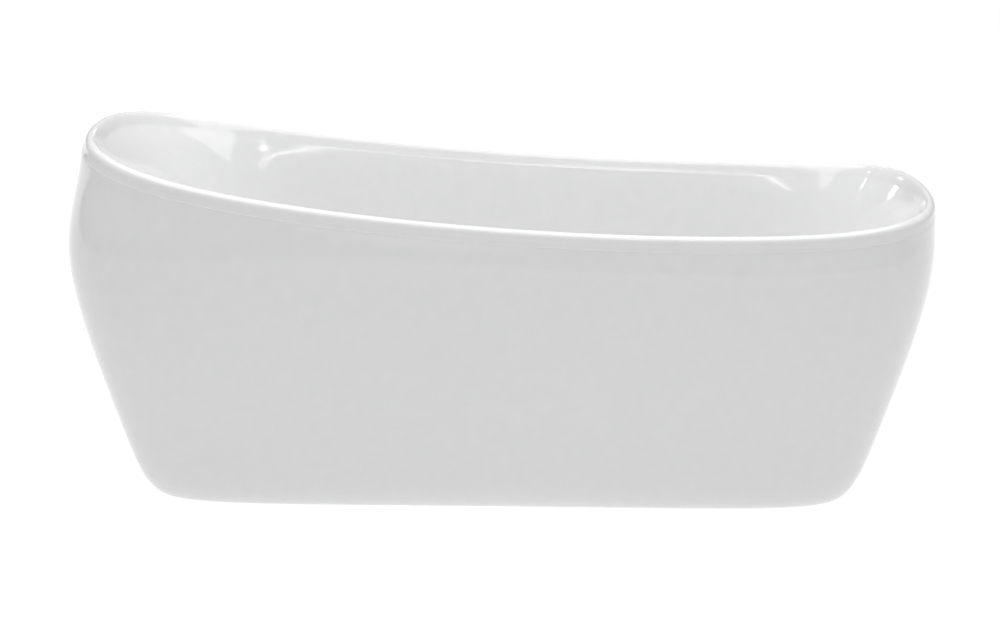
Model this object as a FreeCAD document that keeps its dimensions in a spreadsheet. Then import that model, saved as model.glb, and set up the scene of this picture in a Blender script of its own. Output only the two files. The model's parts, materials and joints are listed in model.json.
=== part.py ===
import FreeCAD, Part
import math
import os
import re

import Sketcher

# A freestanding bath with one raised end: a moulded basin in a moulded skirt, on a steel
# frame with five screw feet, with its push-button waste and its overflow.
# Millimetres, +Z up.  The origin is on the floor under the middle of the bath; the raised
# (head) end is towards -X, the drain (foot) end towards +X.

SIZES = (
    # the whole bath
    ("overall_length", 1700, "length over the widest part of the skirt"),
    ("overall_width", 800, "width over the widest part of the skirt"),
    ("low_rim_height", 574, "lowest point of the rim above the floor"),
    ("low_rim_place", 470, "X of the lowest point of the rim"),
    ("head_rise", 140, "rise of the rim to the head end"),
    ("foot_rise", 25, "rise of the rim to the foot end"),
    # rim
    ("rim_inset_head", 50, "rim crest inside the overall length, head end"),
    ("rim_inset_foot", 15, "rim crest inside the overall length, foot end"),
    ("rim_inset_side", 21, "rim crest inside the overall width, each side"),
    ("rim_fullness_head", 0.30, "squareness of the rim outline, head end"),
    ("rim_fullness_foot", 0.35, "squareness of the rim outline, foot end"),
    ("roll_radius", 12.5, "outer roll of the rim"),
    ("lip_depth", 27, "bottom of the rolled lip below the crest"),
    ("shoulder_width", 17, "inner shoulder of the rim, crest to edge"),
    ("shoulder_drop", 26, "inner shoulder of the rim, crest to edge"),
    ("seam_inset_head", 31, "lip's lower edge inside the overall length, head end"),
    ("seam_inset_foot", 1.5, "lip's lower edge inside the overall length, foot end"),
    ("seam_inset_side", 6.5, "lip's lower edge inside the overall width, each side"),
    ("seam_gap", 1.2, "bonded joint between lip and skirt"),
    ("tongue_gap", 2.4, "skirt's tongue to the back of the lip, measured level"),
    # basin
    ("basin_wall", 7, "basin laminate"),
    ("floor_height", 118, "bath floor at the drain"),
    ("floor_fall", 0.008, "fall of the bath floor to the drain"),
    ("floor_inset_head", 410, "bath floor inside the overall length, head end"),
    ("floor_inset_foot", 250, "bath floor inside the overall length, foot end"),
    ("floor_inset_side", 185, "bath floor inside the overall width, each side"),
    ("floor_fullness", 0.35, "squareness of the bath floor"),
    ("floor_cove", 50, "width of the rounding between floor and walls"),
    ("drain_inset", 170, "drain from the foot end of the bath floor"),
    ("drain_hole_radius", 26, "hole in the basin for the waste"),
    ("recess_radius", 39, "recess in the bath floor round the drain"),
    ("recess_depth", 6, "depth of that recess"),
    ("net_circle_radius", 75, "widest round line of the floor's net round the drain"),
    # skirt
    ("skirt_wall", 5.5, "skirt laminate"),
    ("bulge_height", 500, "height of the widest part of the skirt"),
    ("bulge_fullness", 0.365, "squareness of the skirt at its widest"),
    ("base_inset_end", 187, "skirt at the floor inside the overall length, each end"),
    ("base_inset_side", 149, "skirt at the floor inside the overall width, each side"),
    ("base_fullness", 0.59, "squareness of the skirt at the floor"),
    ("skirt_clearance", 3, "underside of the skirt above the floor"),
    ("return_width", 45, "turned-in flange at the bottom of the skirt"),
    # frame
    ("board_thickness", 12, "board bonded under the bath floor"),
    ("board_inset_end", 52, "board inside the bath floor, each end"),
    ("board_inset_side", 55, "board inside the bath floor, each side"),
    ("board_corner", 60, "corner radius of the board"),
    ("board_opening_radius", 62, "hole in the board round the waste"),
    ("board_gap", 1.5, "resin bed between board and basin"),
    ("rail_size", 25, "square steel tube, outside"),
    ("rail_wall", 2, "square steel tube, wall"),
    ("rail_corner", 3, "square steel tube, outer corner"),
    ("rail_overhang_head", 12, "rails beyond the head end of the bath floor"),
    ("rail_inset_foot", 70, "rails inside the foot end of the bath floor"),
    ("foot_row_inset", 35, "middle of a foot inside the edge of the skirt's flange"),
    ("rail_inset", 35, "middle of a rail inside the row of feet"),
    ("cap_thickness", 2, "plate of a rail's end cap"),
    ("cap_plug_length", 12, "plug of a rail's end cap"),
    ("cap_clearance", 0.2, "end cap's plug in its rail"),
    ("bar_thickness", 5, "steel bar that carries two feet"),
    ("bar_width", 40, "steel bar that carries two feet"),
    ("bar_overhang", 18, "bar beyond the middle of a foot"),
    ("bar_inset", 20, "middle of a foot bar inside the end of the rails"),
    ("middle_tube_place", 40, "X of the middle cross tube"),
    ("drain_tube_offset", 145, "cross tube from the drain, towards the head"),
    ("centre_foot_offset", 34, "centre foot from the middle cross tube"),
    ("weld_gap", 0.1, "between welded members"),
    # feet
    ("stud_radius", 6, "M12 stud"),
    ("stud_bottom", 8, "bottom of the stud above the floor"),
    ("stud_protrusion", 11.5, "stud above the jam nut"),
    ("thread_clearance", 0.08, "stud in its nuts"),
    ("stud_hole_clearance", 0.6, "stud in the bar"),
    ("nut_across_flats", 18, "nuts on the studs"),
    ("jam_nut_height", 6, "nut above the bar"),
    ("main_nut_height", 10.8, "nut below the bar"),
    ("nut_gap", 0.1, "nut to bar"),
    ("pad_radius", 22, "foot pad"),
    ("pad_thickness", 5, "foot pad at its edge"),
    ("pad_hub_radius", 10.5, "hub of the foot pad"),
    ("pad_hub_height", 17, "top of the hub above the floor"),
    ("press_clearance", 0.03, "stud in its pad"),
    # skirt brackets
    ("bracket_width", 40, "skirt bracket, along the bath"),
    ("bracket_thickness", 3, "skirt bracket"),
    ("bracket_reach", 88, "skirt bracket, out from the rail"),
    ("bracket_head_place", -230, "X of the head pair of brackets"),
    ("bracket_foot_place", 190, "X of the foot pair of brackets"),
    ("bracket_bend", 4, "outer bend of a bracket"),
    ("screw_radius", 2.4, "shank of the small screws"),
    ("screw_clearance", 0.2, "screw in its hole"),
    ("screw_head_radius", 4.6, "head of the small screws"),
    ("screw_head_height", 2.4, "head of the small screws"),
    ("bracket_screw_spacing", 22, "between the two screws of a bracket"),
    ("bracket_screw_length", 12, "length of those screws"),
    ("board_screw_length", 34, "screws up through the rails into the board"),
    ("board_screw_first", -330, "X of the first board screw"),
    ("board_screw_spacing", 250, "between board screws"),
    # waste
    ("seat_gap", 0.2, "between parts that seat on each other"),
    ("gasket_thickness", 1.5, "washer under the waste flange"),
    ("gasket_radius", 34, "washer under the waste flange"),
    ("flange_radius", 35, "waste flange"),
    ("flange_height", 5, "waste flange"),
    ("dish_radius", 31, "dish of the waste flange"),
    ("dish_depth", 3, "dish of the waste flange"),
    ("tail_radius", 23.8, "threaded tail of the waste flange"),
    ("tail_bore", 20.5, "bore of the waste flange"),
    ("tail_length", 52, "threaded tail below the flange"),
    ("hub_radius", 9, "hub of the strainer"),
    ("hub_height", 8, "hub of the strainer"),
    ("hub_rise", 6, "hub of the strainer above the end of the tail"),
    ("strainer_arm_width", 3, "arms of the strainer"),
    ("lower_washer_thickness", 2, "washer under the basin"),
    ("lower_washer_radius", 37, "washer under the basin"),
    ("body_flange_height", 5, "top flange of the waste body"),
    ("body_wall", 4.2, "wall of the waste body"),
    ("body_bottom", 20, "underside of the waste body"),
    ("body_clearance", 0.6, "flange tail in the waste body"),
    ("branch_height", 42, "centre line of the waste body's branches"),
    ("hose_radius", 16, "overflow hose, outside"),
    ("hose_wall", 2, "overflow hose"),
    ("spigot_wall", 2.6, "spigots for the hose"),
    ("spigot_clearance", 0.3, "spigot in the hose"),
    ("branch_reach", 58, "end of the hose branch from the drain"),
    ("hose_start_reach", 33, "end of the hose from the drain"),
    ("clamp_radius", 20.5, "hose clamp nut"),
    ("clamp_length", 17, "hose clamp nut"),
    ("outlet_rise", 4, "outlet above the hose branch"),
    ("outlet_radius", 20, "outlet pipe, outside"),
    ("outlet_wall", 2, "outlet pipe"),
    ("outlet_socket_wall", 3.4, "socket of the outlet"),
    ("outlet_socket_reach", 48, "end of the outlet socket from the drain"),
    ("outlet_insertion", 16, "outlet pipe inside its socket"),
    ("outlet_length", 80, "outlet pipe"),
    ("outlet_relief", 0.6, "outlet pipe's inserted end inside its free size"),
    ("union_radius", 28, "union nut of the outlet"),
    ("union_length", 20, "union nut of the outlet"),
    ("union_lip", 5, "lip of the union nut"),
    # plug
    ("plug_travel", 9, "plug, closed to open"),
    ("cap_radius", 30, "plug cap"),
    ("cap_crown", 4.5, "height of the plug cap"),
    ("cap_lift", 2.3, "underside of the closed cap above the dish"),
    ("seal_inner_radius", 23, "plug seal"),
    ("seal_outer_radius", 28, "plug seal"),
    ("stem_radius", 4, "plug stem"),
    ("stem_clearance", 0.06, "stem in its bush"),
    ("collar_radius", 7, "collar of the plug stem"),
    ("collar_height", 6, "collar of the plug stem"),
    ("spring_space", 8, "room for the spring, plug closed"),
    ("cartridge_radius", 10, "plug cartridge"),
    ("cartridge_length", 37, "plug cartridge above its hub"),
    ("cartridge_floor", 2, "bottom of the plug cartridge"),
    ("cartridge_bush", 4.5, "top bush of the plug cartridge"),
    ("cartridge_shank_radius", 5.5, "shank of the plug cartridge"),
    ("spring_wire", 0.7, "spring wire radius"),
    ("spring_turns", 4, "turns of the spring"),
    # overflow
    ("overflow_drop", 131, "centre of the overflow below the foot end of the rim"),
    ("overflow_hole_radius", 25, "hole in the basin for the overflow"),
    ("overflow_cover_radius", 33, "overflow cover"),
    ("overflow_cover_depth", 9, "overflow cover, out from the wall"),
    ("overflow_cover_gap", 2, "overflow cover to the wall"),
    ("overflow_cover_wall", 2.2, "overflow cover"),
    ("overflow_slot_radius", 3.5, "slots in the edge of the overflow cover"),
    ("overflow_neck_radius", 23, "neck of the overflow body"),
    ("overflow_neck_bore", 19.5, "neck of the overflow body"),
    ("overflow_body_depth", 44, "overflow body behind the basin's inner face"),
    ("overflow_gasket_thickness", 4, "foam washer behind the wall"),
    ("overflow_gasket_gap", 1, "foam washer to the wall"),
    ("overflow_flange_thickness", 4, "flange of the overflow body"),
    ("overflow_boss_radius", 7, "boss for the cover's screw"),
    ("overflow_boss_depth", 12, "boss for the cover's screw"),
    ("overflow_screw_radius", 3, "cover's screw"),
    ("overflow_screw_length", 26, "cover's screw"),
    ("overflow_screw_head_radius", 6.5, "cover's screw"),
    ("overflow_spigot_length", 50, "spigot of the overflow body below its centre"),
    ("hose_straight", 110, "straight fall of the hose below the overflow"),
    ("hose_landing", 55, "bend of the hose beyond the foot end of the bath floor"),
    ("hose_upper_bend", 150, "upper bend of the hose"),
    ("hose_lower_bend", 110, "lower bend of the hose"),
)
WORKED_OUT = (
    ("floor_head_place", "=floor_inset_head - overall_length / 2", "X of the foot of the head wall"),
    ("floor_foot_place", "=overall_length / 2 - floor_inset_foot", "X of the foot of the foot wall"),
    ("floor_half_width", "=overall_width / 2 - floor_inset_side", "half width of the bath floor"),
    ("drain_place", "=floor_foot_place - drain_inset", "X of the drain"),
    ("board_head_place", "=floor_head_place + board_inset_end", "X of the board's head end"),
    ("board_foot_place", "=floor_foot_place - board_inset_end", "X of the board's foot end"),
    ("board_half_width", "=floor_half_width - board_inset_side", "half width of the board"),
    ("board_bottom", "=floor_height - basin_wall - board_gap - board_thickness", "underside of the board"),
    ("rail_head_place", "=floor_head_place - rail_overhang_head", "X of the rails' head end"),
    ("rail_foot_place", "=floor_foot_place - rail_inset_foot", "X of the rails' foot end"),
    ("rail_middle", "=board_bottom - rail_size / 2", "centre line of the rails"),
    ("head_bar_place", "=rail_head_place + bar_inset", "X of the head bar"),
    ("foot_bar_place", "=rail_foot_place - bar_inset", "X of the foot bar"),
    ("drain_tube_place", "=drain_place - drain_tube_offset", "X of the cross tube beside the drain"),
    ("bar_top", "=board_bottom - rail_size", "top of the foot bars"),
    ("bar_bottom", "=bar_top - bar_thickness", "underside of the foot bars"),
    ("foot_row", "=overall_width / 2 - base_inset_side - return_width - foot_row_inset", "Y of the feet"),
    ("rail_row", "=foot_row - rail_inset", "Y of the rails"),
    ("stud_length", "=bar_top + nut_gap + jam_nut_height + stud_protrusion - stud_bottom", "stud"),
    ("recess_top", "=floor_height - recess_depth", "bottom of the recess"),
    ("flange_bottom", "=recess_top + 2 * seat_gap + gasket_thickness", "underside of the waste flange"),
    ("dish_level", "=flange_bottom + flange_height - dish_depth", "dish of the waste flange"),
    ("tail_bottom", "=flange_bottom - tail_length", "bottom of the flange's tail"),
    ("hub_bottom", "=tail_bottom + hub_rise", "underside of the strainer's hub"),
    ("basin_underside", "=recess_top - basin_wall", "underside of the basin at the drain"),
    ("washer_bottom", "=basin_underside - seat_gap - lower_washer_thickness", "lower washer"),
    ("body_top", "=washer_bottom - seat_gap", "top of the waste body"),
    ("body_bore", "=tail_radius + body_clearance", "bore of the waste body"),
    ("outlet_height", "=branch_height + outlet_rise", "centre line of the outlet"),
    ("cap_bottom", "=dish_level + cap_lift", "underside of the closed plug cap"),
    ("cartridge_bottom", "=hub_bottom + hub_height + seat_gap", "underside of the plug cartridge"),
    ("cartridge_top", "=cartridge_bottom + cartridge_length", "top of the plug cartridge"),
    ("collar_place", "=cartridge_bottom + cartridge_floor + spring_space", "collar, plug closed"),
    ("spigot_radius", "=hose_radius - hose_wall - spigot_clearance", "spigots for the hose"),
    ("spigot_bore", "=spigot_radius - spigot_wall", "bore of the spigots"),
    ("overflow_height", "=low_rim_height + foot_rise - overflow_drop", "centre of the overflow"),
    ("hose_landing_place", "=floor_foot_place + hose_landing", "X of the hose's lower bend"),
)
NAMES = {alias for alias, number, meaning in SIZES + WORKED_OUT}

doc = FreeCAD.newDocument("Bath")
sheet = doc.addObject("Spreadsheet::Sheet", "Sizes")


def fill_sheet(rows, first_row=1):
    for row, (alias, number, meaning) in enumerate(rows, start=first_row):
        sheet.set(f"A{row}", alias)
        sheet.set(f"B{row}", str(number))
        sheet.set(f"C{row}", meaning)
        sheet.setAlias(f"B{row}", alias)
    doc.recompute()


def size(formula):
    """The value of a formula of the sheet's names."""
    return float(sheet.evalExpression(formula))


def bound(formula):
    """The same formula as other objects of the document write it."""
    return re.sub(r"[a-z][a-z_]+", lambda word: "Sizes." + word[0] if word[0] in NAMES else word[0], formula)


def bind(item, **formulas):
    for setting, formula in formulas.items():
        item.setExpression(setting, bound(formula))


def place(item, x="0", y="0", z="0"):
    for axis, formula in (("x", x), ("y", y), ("z", z)):
        item.setExpression("Placement.Base." + axis, bound(formula))


fill_sheet(SIZES)
fill_sheet(WORKED_OUT, first_row=len(SIZES) + 1)

# ---------------------------------------------------------------------------------------
# Helpers: bodies with sketches

WHOLE_TURN = 360


def new_body(label):
    body = doc.addObject("PartDesign::Body", label)
    body.Label = label
    return body


def new_sketch(body, plane):
    sketch = body.newObject("Sketcher::SketchObject", body.Name + "_sketch")
    origin_plane = next(item for item in body.Origin.OriginFeatures if item.Role == plane)
    sketch.AttachmentSupport = [(origin_plane, "")]
    sketch.MapMode = "FlatFace"
    return sketch


def hold_point(sketch, geometry, point, x, y):
    """Ties a point of a sketch to formulas for its two coordinates."""
    for kind, formula in (("DistanceX", x), ("DistanceY", y)):
        number = sketch.addConstraint(
            Sketcher.Constraint(kind, -1, 1, geometry, point, size(formula)))
        sketch.setExpression(f"Constraints[{number}]", bound(formula))


def draw_outline(sketch, corners):
    """A closed straight-sided outline; each corner is a pair of formulas."""
    points = [FreeCAD.Vector(size(x), size(y), 0) for x, y in corners]
    count = len(points)
    first = sketch.GeometryCount
    for index in range(count):
        sketch.addGeometry(Part.LineSegment(points[index], points[(index + 1) % count]))
    for index, (x, y) in enumerate(corners):
        following = first + (index + 1) % count
        sketch.addConstraint(Sketcher.Constraint("Coincident", first + index, 2, following, 1))
        hold_point(sketch, first + index, 1, x, y)


def draw_circle(sketch, x, y, radius):
    circle = sketch.addGeometry(
        Part.Circle(FreeCAD.Vector(size(x), size(y), 0), FreeCAD.Vector(0, 0, 1), size(radius)))
    hold_point(sketch, circle, 3, x, y)
    number = sketch.addConstraint(Sketcher.Constraint("Radius", circle, size(radius)))
    sketch.setExpression(f"Constraints[{number}]", bound(radius))


def rectangle(low_x, high_x, low_y, high_y):
    return [(low_x, low_y), (high_x, low_y), (high_x, high_y), (low_x, high_y)]


def pad(body, plane, outlines, length, circles=(), middle=False):
    """A pad of the given outlines; an outline inside another is a hole."""
    sketch = new_sketch(body, plane)
    for corners in outlines:
        draw_outline(sketch, corners)
    for x, y, radius in circles:
        draw_circle(sketch, x, y, radius)
    feature = body.newObject("PartDesign::Pad", body.Name + "_pad")
    feature.Profile = sketch
    bind(feature, Length=length)
    if middle:
        feature.SideType = "Symmetric"
    doc.recompute()
    return feature


def drill(body, plane, circles):
    """Round holes right through the body, square to the plane."""
    sketch = new_sketch(body, plane)
    for x, y, radius in circles:
        draw_circle(sketch, x, y, radius)
    before = body.Shape.Volume
    feature = body.newObject("PartDesign::Pocket", body.Name + "_holes")
    feature.Profile = sketch
    feature.SideType = "Symmetric"
    feature.Type = "ThroughAll"
    doc.recompute()
    if body.Shape.Volume >= before:
        raise RuntimeError(body.Label + ": a hole cuts nothing")


def round_edges(body, radius, chosen):
    """Rounds the edges that the test chooses."""
    base = body.Tip
    names = [f"Edge{number}" for number, edge in enumerate(body.Shape.Edges, start=1) if chosen(edge)]
    if not names:
        raise RuntimeError(body.Label + ": no edge to round")
    feature = body.newObject("PartDesign::Fillet", body.Name + "_rounding")
    feature.Base = (base, names)
    bind(feature, Radius=radius)
    doc.recompute()


def turned(label, corners):
    """A piece turned about its Z axis from corners (radius, height)."""
    body = new_body(label)
    sketch = new_sketch(body, "XZ_Plane")
    draw_outline(sketch, corners)
    feature = body.newObject("PartDesign::Revolution", label + "_turning")
    feature.Profile = sketch
    feature.ReferenceAxis = (sketch, ["V_Axis"])
    feature.Angle = WHOLE_TURN
    doc.recompute()
    return body


# Helpers: primitives

ALONG_X = FreeCAD.Rotation(FreeCAD.Vector(0, 1, 0), 90)
ALONG_MINUS_X = FreeCAD.Rotation(FreeCAD.Vector(0, 1, 0), -90)
ALONG_Y = FreeCAD.Rotation(FreeCAD.Vector(1, 0, 0), -90)
ALONG_MINUS_Y = FreeCAD.Rotation(FreeCAD.Vector(1, 0, 0), 90)
UPRIGHT = FreeCAD.Rotation()


def cylinder(name, radius, length, x="0", y="0", z="0", turn=UPRIGHT):
    item = doc.addObject("Part::Cylinder", name)
    item.Placement = FreeCAD.Placement(FreeCAD.Vector(), turn)
    bind(item, Radius=radius, Height=length)
    place(item, x, y, z)
    return item


def fused(name, items):
    item = doc.addObject("Part::MultiFuse", name)
    item.Shapes = list(items)
    return item


def cut(label, base, tool):
    item = doc.addObject("Part::Cut", label)
    item.Label = label
    item.Base = base
    item.Tool = tool
    return item


# ---------------------------------------------------------------------------------------
# The moulded shells.  Each is one closed surface over a net of points: rings round the
# bath, joined up the front face, over the edge and back down the other face.

RING_POINTS = 48
DRAIN = size("drain_place")


def net_loss(harmonic):
    """How much of a wave round the ring the smooth surface keeps of its net's."""
    return (2 + math.cos(harmonic * 2 * math.pi / RING_POINTS)) / 3


class Ring:
    """An outline seen from above: end places, half width, squareness of each end."""

    def __init__(self, head, foot, half_width, head_fullness, foot_fullness):
        self.values = (head, foot, half_width, head_fullness, foot_fullness)

    def mixed(self, other, share):
        return Ring(*(a + (b - a) * share for a, b in zip(self.values, other.values)))

    def inset(self, distance):
        head, foot, half_width, head_fullness, foot_fullness = self.values
        return Ring(head + distance, foot - distance, half_width - distance,
                    head_fullness, foot_fullness)

    def point(self, angle):
        head, foot, half_width, head_fullness, foot_fullness = self.values
        fullness = (foot_fullness + head_fullness + (foot_fullness - head_fullness) * math.cos(angle)) / 2
        oval = (1 + fullness / 4) / net_loss(1)
        corner = fullness / 4 / net_loss(3)
        along = oval * math.cos(angle) - corner * math.cos(3 * angle)
        across = oval * math.sin(angle) + corner * math.sin(3 * angle)
        return (head + foot) / 2 + (foot - head) / 2 * along, half_width * across


HALF_LENGTH = size("overall_length / 2")
HALF_WIDTH = size("overall_width / 2")
CREST = Ring(-HALF_LENGTH + size("rim_inset_head"), HALF_LENGTH - size("rim_inset_foot"),
             HALF_WIDTH - size("rim_inset_side"), size("rim_fullness_head"), size("rim_fullness_foot"))
SEAM = Ring(-HALF_LENGTH + size("seam_inset_head"), HALF_LENGTH - size("seam_inset_foot"),
            HALF_WIDTH - size("seam_inset_side"), size("rim_fullness_head"), size("rim_fullness_foot"))
BULGE = Ring(-HALF_LENGTH, HALF_LENGTH, HALF_WIDTH, size("bulge_fullness"), size("bulge_fullness"))
BASE = Ring(-HALF_LENGTH + size("base_inset_end"), HALF_LENGTH - size("base_inset_end"),
            HALF_WIDTH - size("base_inset_side"), size("base_fullness"), size("base_fullness"))
FLOOR = Ring(size("floor_head_place"), size("floor_foot_place"), size("floor_half_width"),
             size("floor_fullness"), size("floor_fullness"))
FLAT = FLOOR.inset(size("floor_cove"))
EDGE = CREST.inset(size("shoulder_width"))


def crest_height(angle):
    """The rim is lowest near the foot end and sweeps up to the head."""
    x = CREST.point(angle)[0]
    lowest = size("low_rim_place")
    if x > lowest:
        part = (x - lowest) / (CREST.values[1] - lowest)
        return size("low_rim_height") + size("foot_rise") * part ** 3
    part = (lowest - x) / (lowest - CREST.values[0])
    return size("low_rim_height") + size("head_rise") * (0.83 * part ** 2 + 0.17 * part ** 10)


CREST_HEIGHTS = [crest_height(2 * math.pi * index / RING_POINTS) for index in range(RING_POINTS)]


def station(ring, level, follow=0.0, fall=0.0):
    """A ring of net points; follow = 1 measures the level from the crest of the rim."""
    points = []
    for index in range(RING_POINTS):
        x, y = ring.point(2 * math.pi * index / RING_POINTS)
        height = level + follow * CREST_HEIGHTS[index] + fall * size("floor_fall") * (DRAIN - x)
        points.append(FreeCAD.Vector(x, y, height))
    return points


def drain_circle(radius, level, fall=0.0):
    """A round station: the wider, the straighter its net lines run on to the flat floor's edge."""
    hole = size("drain_hole_radius")
    straightness = (radius - hole) / (size("net_circle_radius") - hole)
    points = []
    for index in range(RING_POINTS):
        even = 2 * math.pi * index / RING_POINTS
        x, y = FLAT.point(even)
        straight = math.atan2(y, x - DRAIN) % (2 * math.pi)
        angle = even + (straight - even) * straightness
        reach = radius / net_loss(1)
        x = DRAIN + reach * math.cos(angle)
        height = level + fall * size("floor_fall") * (DRAIN - x)
        points.append(FreeCAD.Vector(x, reach * math.sin(angle), height))
    return points


def backed(stations, thickness):
    """The other face: every station moved square to the net by the thickness."""
    back = []
    last = len(stations) - 1
    for number, points in enumerate(stations):
        moved = []
        for index, point in enumerate(points):
            around = (points[(index + 1) % RING_POINTS] - points[index - 1]).normalize()
            steps = []
            if number > 0:
                steps.append((point - stations[number - 1][index]).normalize())
            if number < last:
                steps.append((stations[number + 1][index] - point).normalize())
            normals = [around.cross(step).normalize() for step in steps]
            middle = sum(normals, FreeCAD.Vector()).normalize()
            moved.append(point + middle * (thickness / middle.dot(normals[0])))
        back.append(moved)
    return back


def between(start, end, share):
    return [a + (b - a) * share for a, b in zip(start, end)]


EDGE_STEPS = (0.06, 0.22, 0.78, 0.94)


def trimmed_level(before, inner, outer):
    """A back edge cut off level with the front one, point by point."""
    return [a + (b - a) * ((c.z - a.z) / (b.z - a.z)) for a, b, c in zip(before, inner, outer)]


def moulded(front, back_picks, thickness, level_edge):
    """A closed shell: all the front stations, a rounded edge, and the picked back ones."""
    back = backed([front[number] for number in back_picks], thickness)
    if level_edge:
        back[-1] = trimmed_level(back[-2], back[-1], front[-1])
    net = list(front)
    net += [between(front[-1], back[-1], share) for share in EDGE_STEPS]
    net += back[::-1]
    net += [between(back[0], front[0], share) for share in EDGE_STEPS]
    rows = len(net)
    poles = [[net[row][index] for row in range(rows)] for index in range(RING_POINTS)]
    surface = Part.BSplineSurface()
    surface.buildFromPolesMultsKnots(
        poles, [1] * (RING_POINTS + 1), [1] * (rows + 1),
        [float(knot) for knot in range(RING_POINTS + 1)], [float(knot) for knot in range(rows + 1)],
        True, True, 3, 3)
    solid = Part.Solid(Part.Shell([surface.toShape()]))
    if solid.Volume < 0:
        solid.reverse()
    return solid


def basin_stations():
    """Front face from the drain outwards: (station, kept on the back)."""
    floor = size("floor_height")
    cove = size("floor_cove")
    recess = floor - size("recess_depth")
    hole = size("drain_hole_radius")
    rim = size("recess_radius")
    roll = size("roll_radius")
    lip_bottom = -size("lip_depth")
    edge_level = -size("shoulder_drop")
    widest = drain_circle(size("net_circle_radius"), floor, fall=1)
    made = [
        (drain_circle(hole, recess), True),
        (drain_circle(hole + 4, recess), True),
        (drain_circle(rim - 2.5, recess), True),
        (drain_circle(rim + 0.5, recess), False),
        (drain_circle(rim + 3, floor), True),
        (drain_circle(rim + 8, floor, fall=1), False),
        (drain_circle(rim + 16, floor, fall=1), True),
        (widest, True),
    ]
    for share in (0.30, 0.56, 0.80, 1.0):
        made.append((between(widest, station(FLAT, floor, fall=1), share), True))
    made.append((station(FLOOR.inset(0.56 * cove), floor + 0.01 * cove, fall=1), True))
    made.append((station(FLOOR.inset(0.20 * cove), floor + 0.09 * cove, fall=1), True))
    for outward, upward in ((0.01, 0.045), (0.07, 0.095), (0.15, 0.165), (0.27, 0.28), (0.42, 0.435),
                            (0.58, 0.60), (0.74, 0.77), (0.90, 0.92), (0.975, 0.98)):
        level = floor * (1 - upward) + edge_level * upward
        made.append((station(FLOOR.mixed(EDGE, outward), level, follow=upward, fall=1 - upward),
                     upward < 0.95))
    width = size("shoulder_width")
    made.append((station(EDGE, edge_level, follow=1), True))
    for inward, drop, kept in ((0.93, 0.905, False), (0.74, 0.64, True), (0.47, 0.29, True),
                               (0.20, 0.045, True)):
        made.append((station(CREST.inset(width * inward), edge_level * drop, follow=1), kept))
    pole_radius = roll * 1.047
    for degrees in (90, 60, 30, 0):
        outset = pole_radius * math.cos(math.radians(degrees))
        level = pole_radius * math.sin(math.radians(degrees)) - roll
        made.append((station(CREST.inset(-outset), level, follow=1), True))
    for share, kept in ((0.35, True), (0.75, True), (0.95, False), (1.0, True)):
        made.append((station(lip_ring(share), -roll * (1 - share) + lip_bottom * share, follow=1), kept))
    return made


def lip_ring(share):
    """The lip's outer face between the roll and its lower edge."""
    return CREST.inset(-size("roll_radius")).mixed(SEAM, share)


def skirt_stations():
    """Front face from the tongue behind the lip down to the turned-in flange."""
    roll = size("roll_radius")
    lip_bottom = -size("lip_depth")
    step = size("basin_wall + tongue_gap")
    shelf = lip_bottom - size("seam_gap")
    tongue_top = -18
    upper_share = (tongue_top + roll) / (lip_bottom + roll)
    bulge = size("bulge_height")
    made = [
        (station(lip_ring(upper_share).inset(step), tongue_top, follow=1), True),
        (station(lip_ring(upper_share).inset(step), tongue_top - 1, follow=1), True),
        (station(lip_ring(0.7).inset(step), tongue_top - 4.5, follow=1), True),
        (station(SEAM.inset(step), shelf + 1.2, follow=1), False),
        (station(SEAM.inset(step), shelf, follow=1), True),
        (station(SEAM.inset(step - 1.2), shelf, follow=1), False),
        (station(SEAM.inset(1), shelf, follow=1), False),
        (station(SEAM, shelf, follow=1), True),
        (station(SEAM.mixed(BULGE, 0.02), shelf - 1, follow=1), False),
    ]
    for inward, follow in ((0.90, 0.90), (0.72, 0.72), (0.36, 0.45), (0.10, 0.20), (0.0, 0.0)):
        made.append((station(BULGE.mixed(SEAM, inward), bulge * (1 - follow) + shelf * follow, follow=follow),
                     True))
    for inward, upward in ((0.015, 0.90), (0.07, 0.79), (0.18, 0.636), (0.34, 0.46), (0.49, 0.30),
                           (0.60, 0.184), (0.70, 0.096), (0.80, 0.042), (0.89, 0.016)):
        made.append((station(BULGE.mixed(BASE, inward), bulge * upward), True))
    bottom = size("skirt_clearance")
    made.append((station(BASE, bottom + 0.6), True))
    for inset in (10, 22, 36):
        made.append((station(BASE.inset(inset), bottom), True))
    made.append((station(BASE.inset(size("return_width")), bottom), True))
    return made


def shell(label, stations, thickness, level_edge=False):
    front = [points for points, kept in stations]
    picks = [number for number, (points, kept) in enumerate(stations) if kept]
    item = doc.addObject("Part::Feature", label)
    item.Label = label
    item.Shape = moulded(front, picks, thickness, level_edge)
    return item


basin_blank = shell("basin_blank", basin_stations(), size("basin_wall"), level_edge=True)
skirt_shell = shell("skirt_shell", skirt_stations(), size("skirt_wall"))


def wall_place(height):
    """X of the basin's inner face at the foot end, on the middle line."""
    line = Part.makeLine(FreeCAD.Vector(DRAIN, 0, height), FreeCAD.Vector(HALF_LENGTH, 0, height))
    crossing = basin_blank.Shape.common(line)
    return crossing.BoundBox.XMin


# Worked out from the basin: where the overflow sits and how its wall leans.
OVERFLOW_SPAN = 30
overflow_centre = size("overflow_height")
rise = wall_place(overflow_centre + OVERFLOW_SPAN) - wall_place(overflow_centre - OVERFLOW_SPAN)
MEASURED = (
    ("overflow_place", round(wall_place(overflow_centre), 3), "X of the wall at the overflow"),
    ("overflow_lean", round(math.degrees(math.atan(rise / (2 * OVERFLOW_SPAN))), 3),
     "lean of the wall at the overflow, degrees"),
)
NAMES.update(alias for alias, number, meaning in MEASURED)
fill_sheet(MEASURED, first_row=len(SIZES) + len(WORKED_OUT) + 1)

OVERFLOW_TURN = FreeCAD.Rotation(FreeCAD.Vector(0, 1, 0), 90 + size("overflow_lean"))


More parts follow.
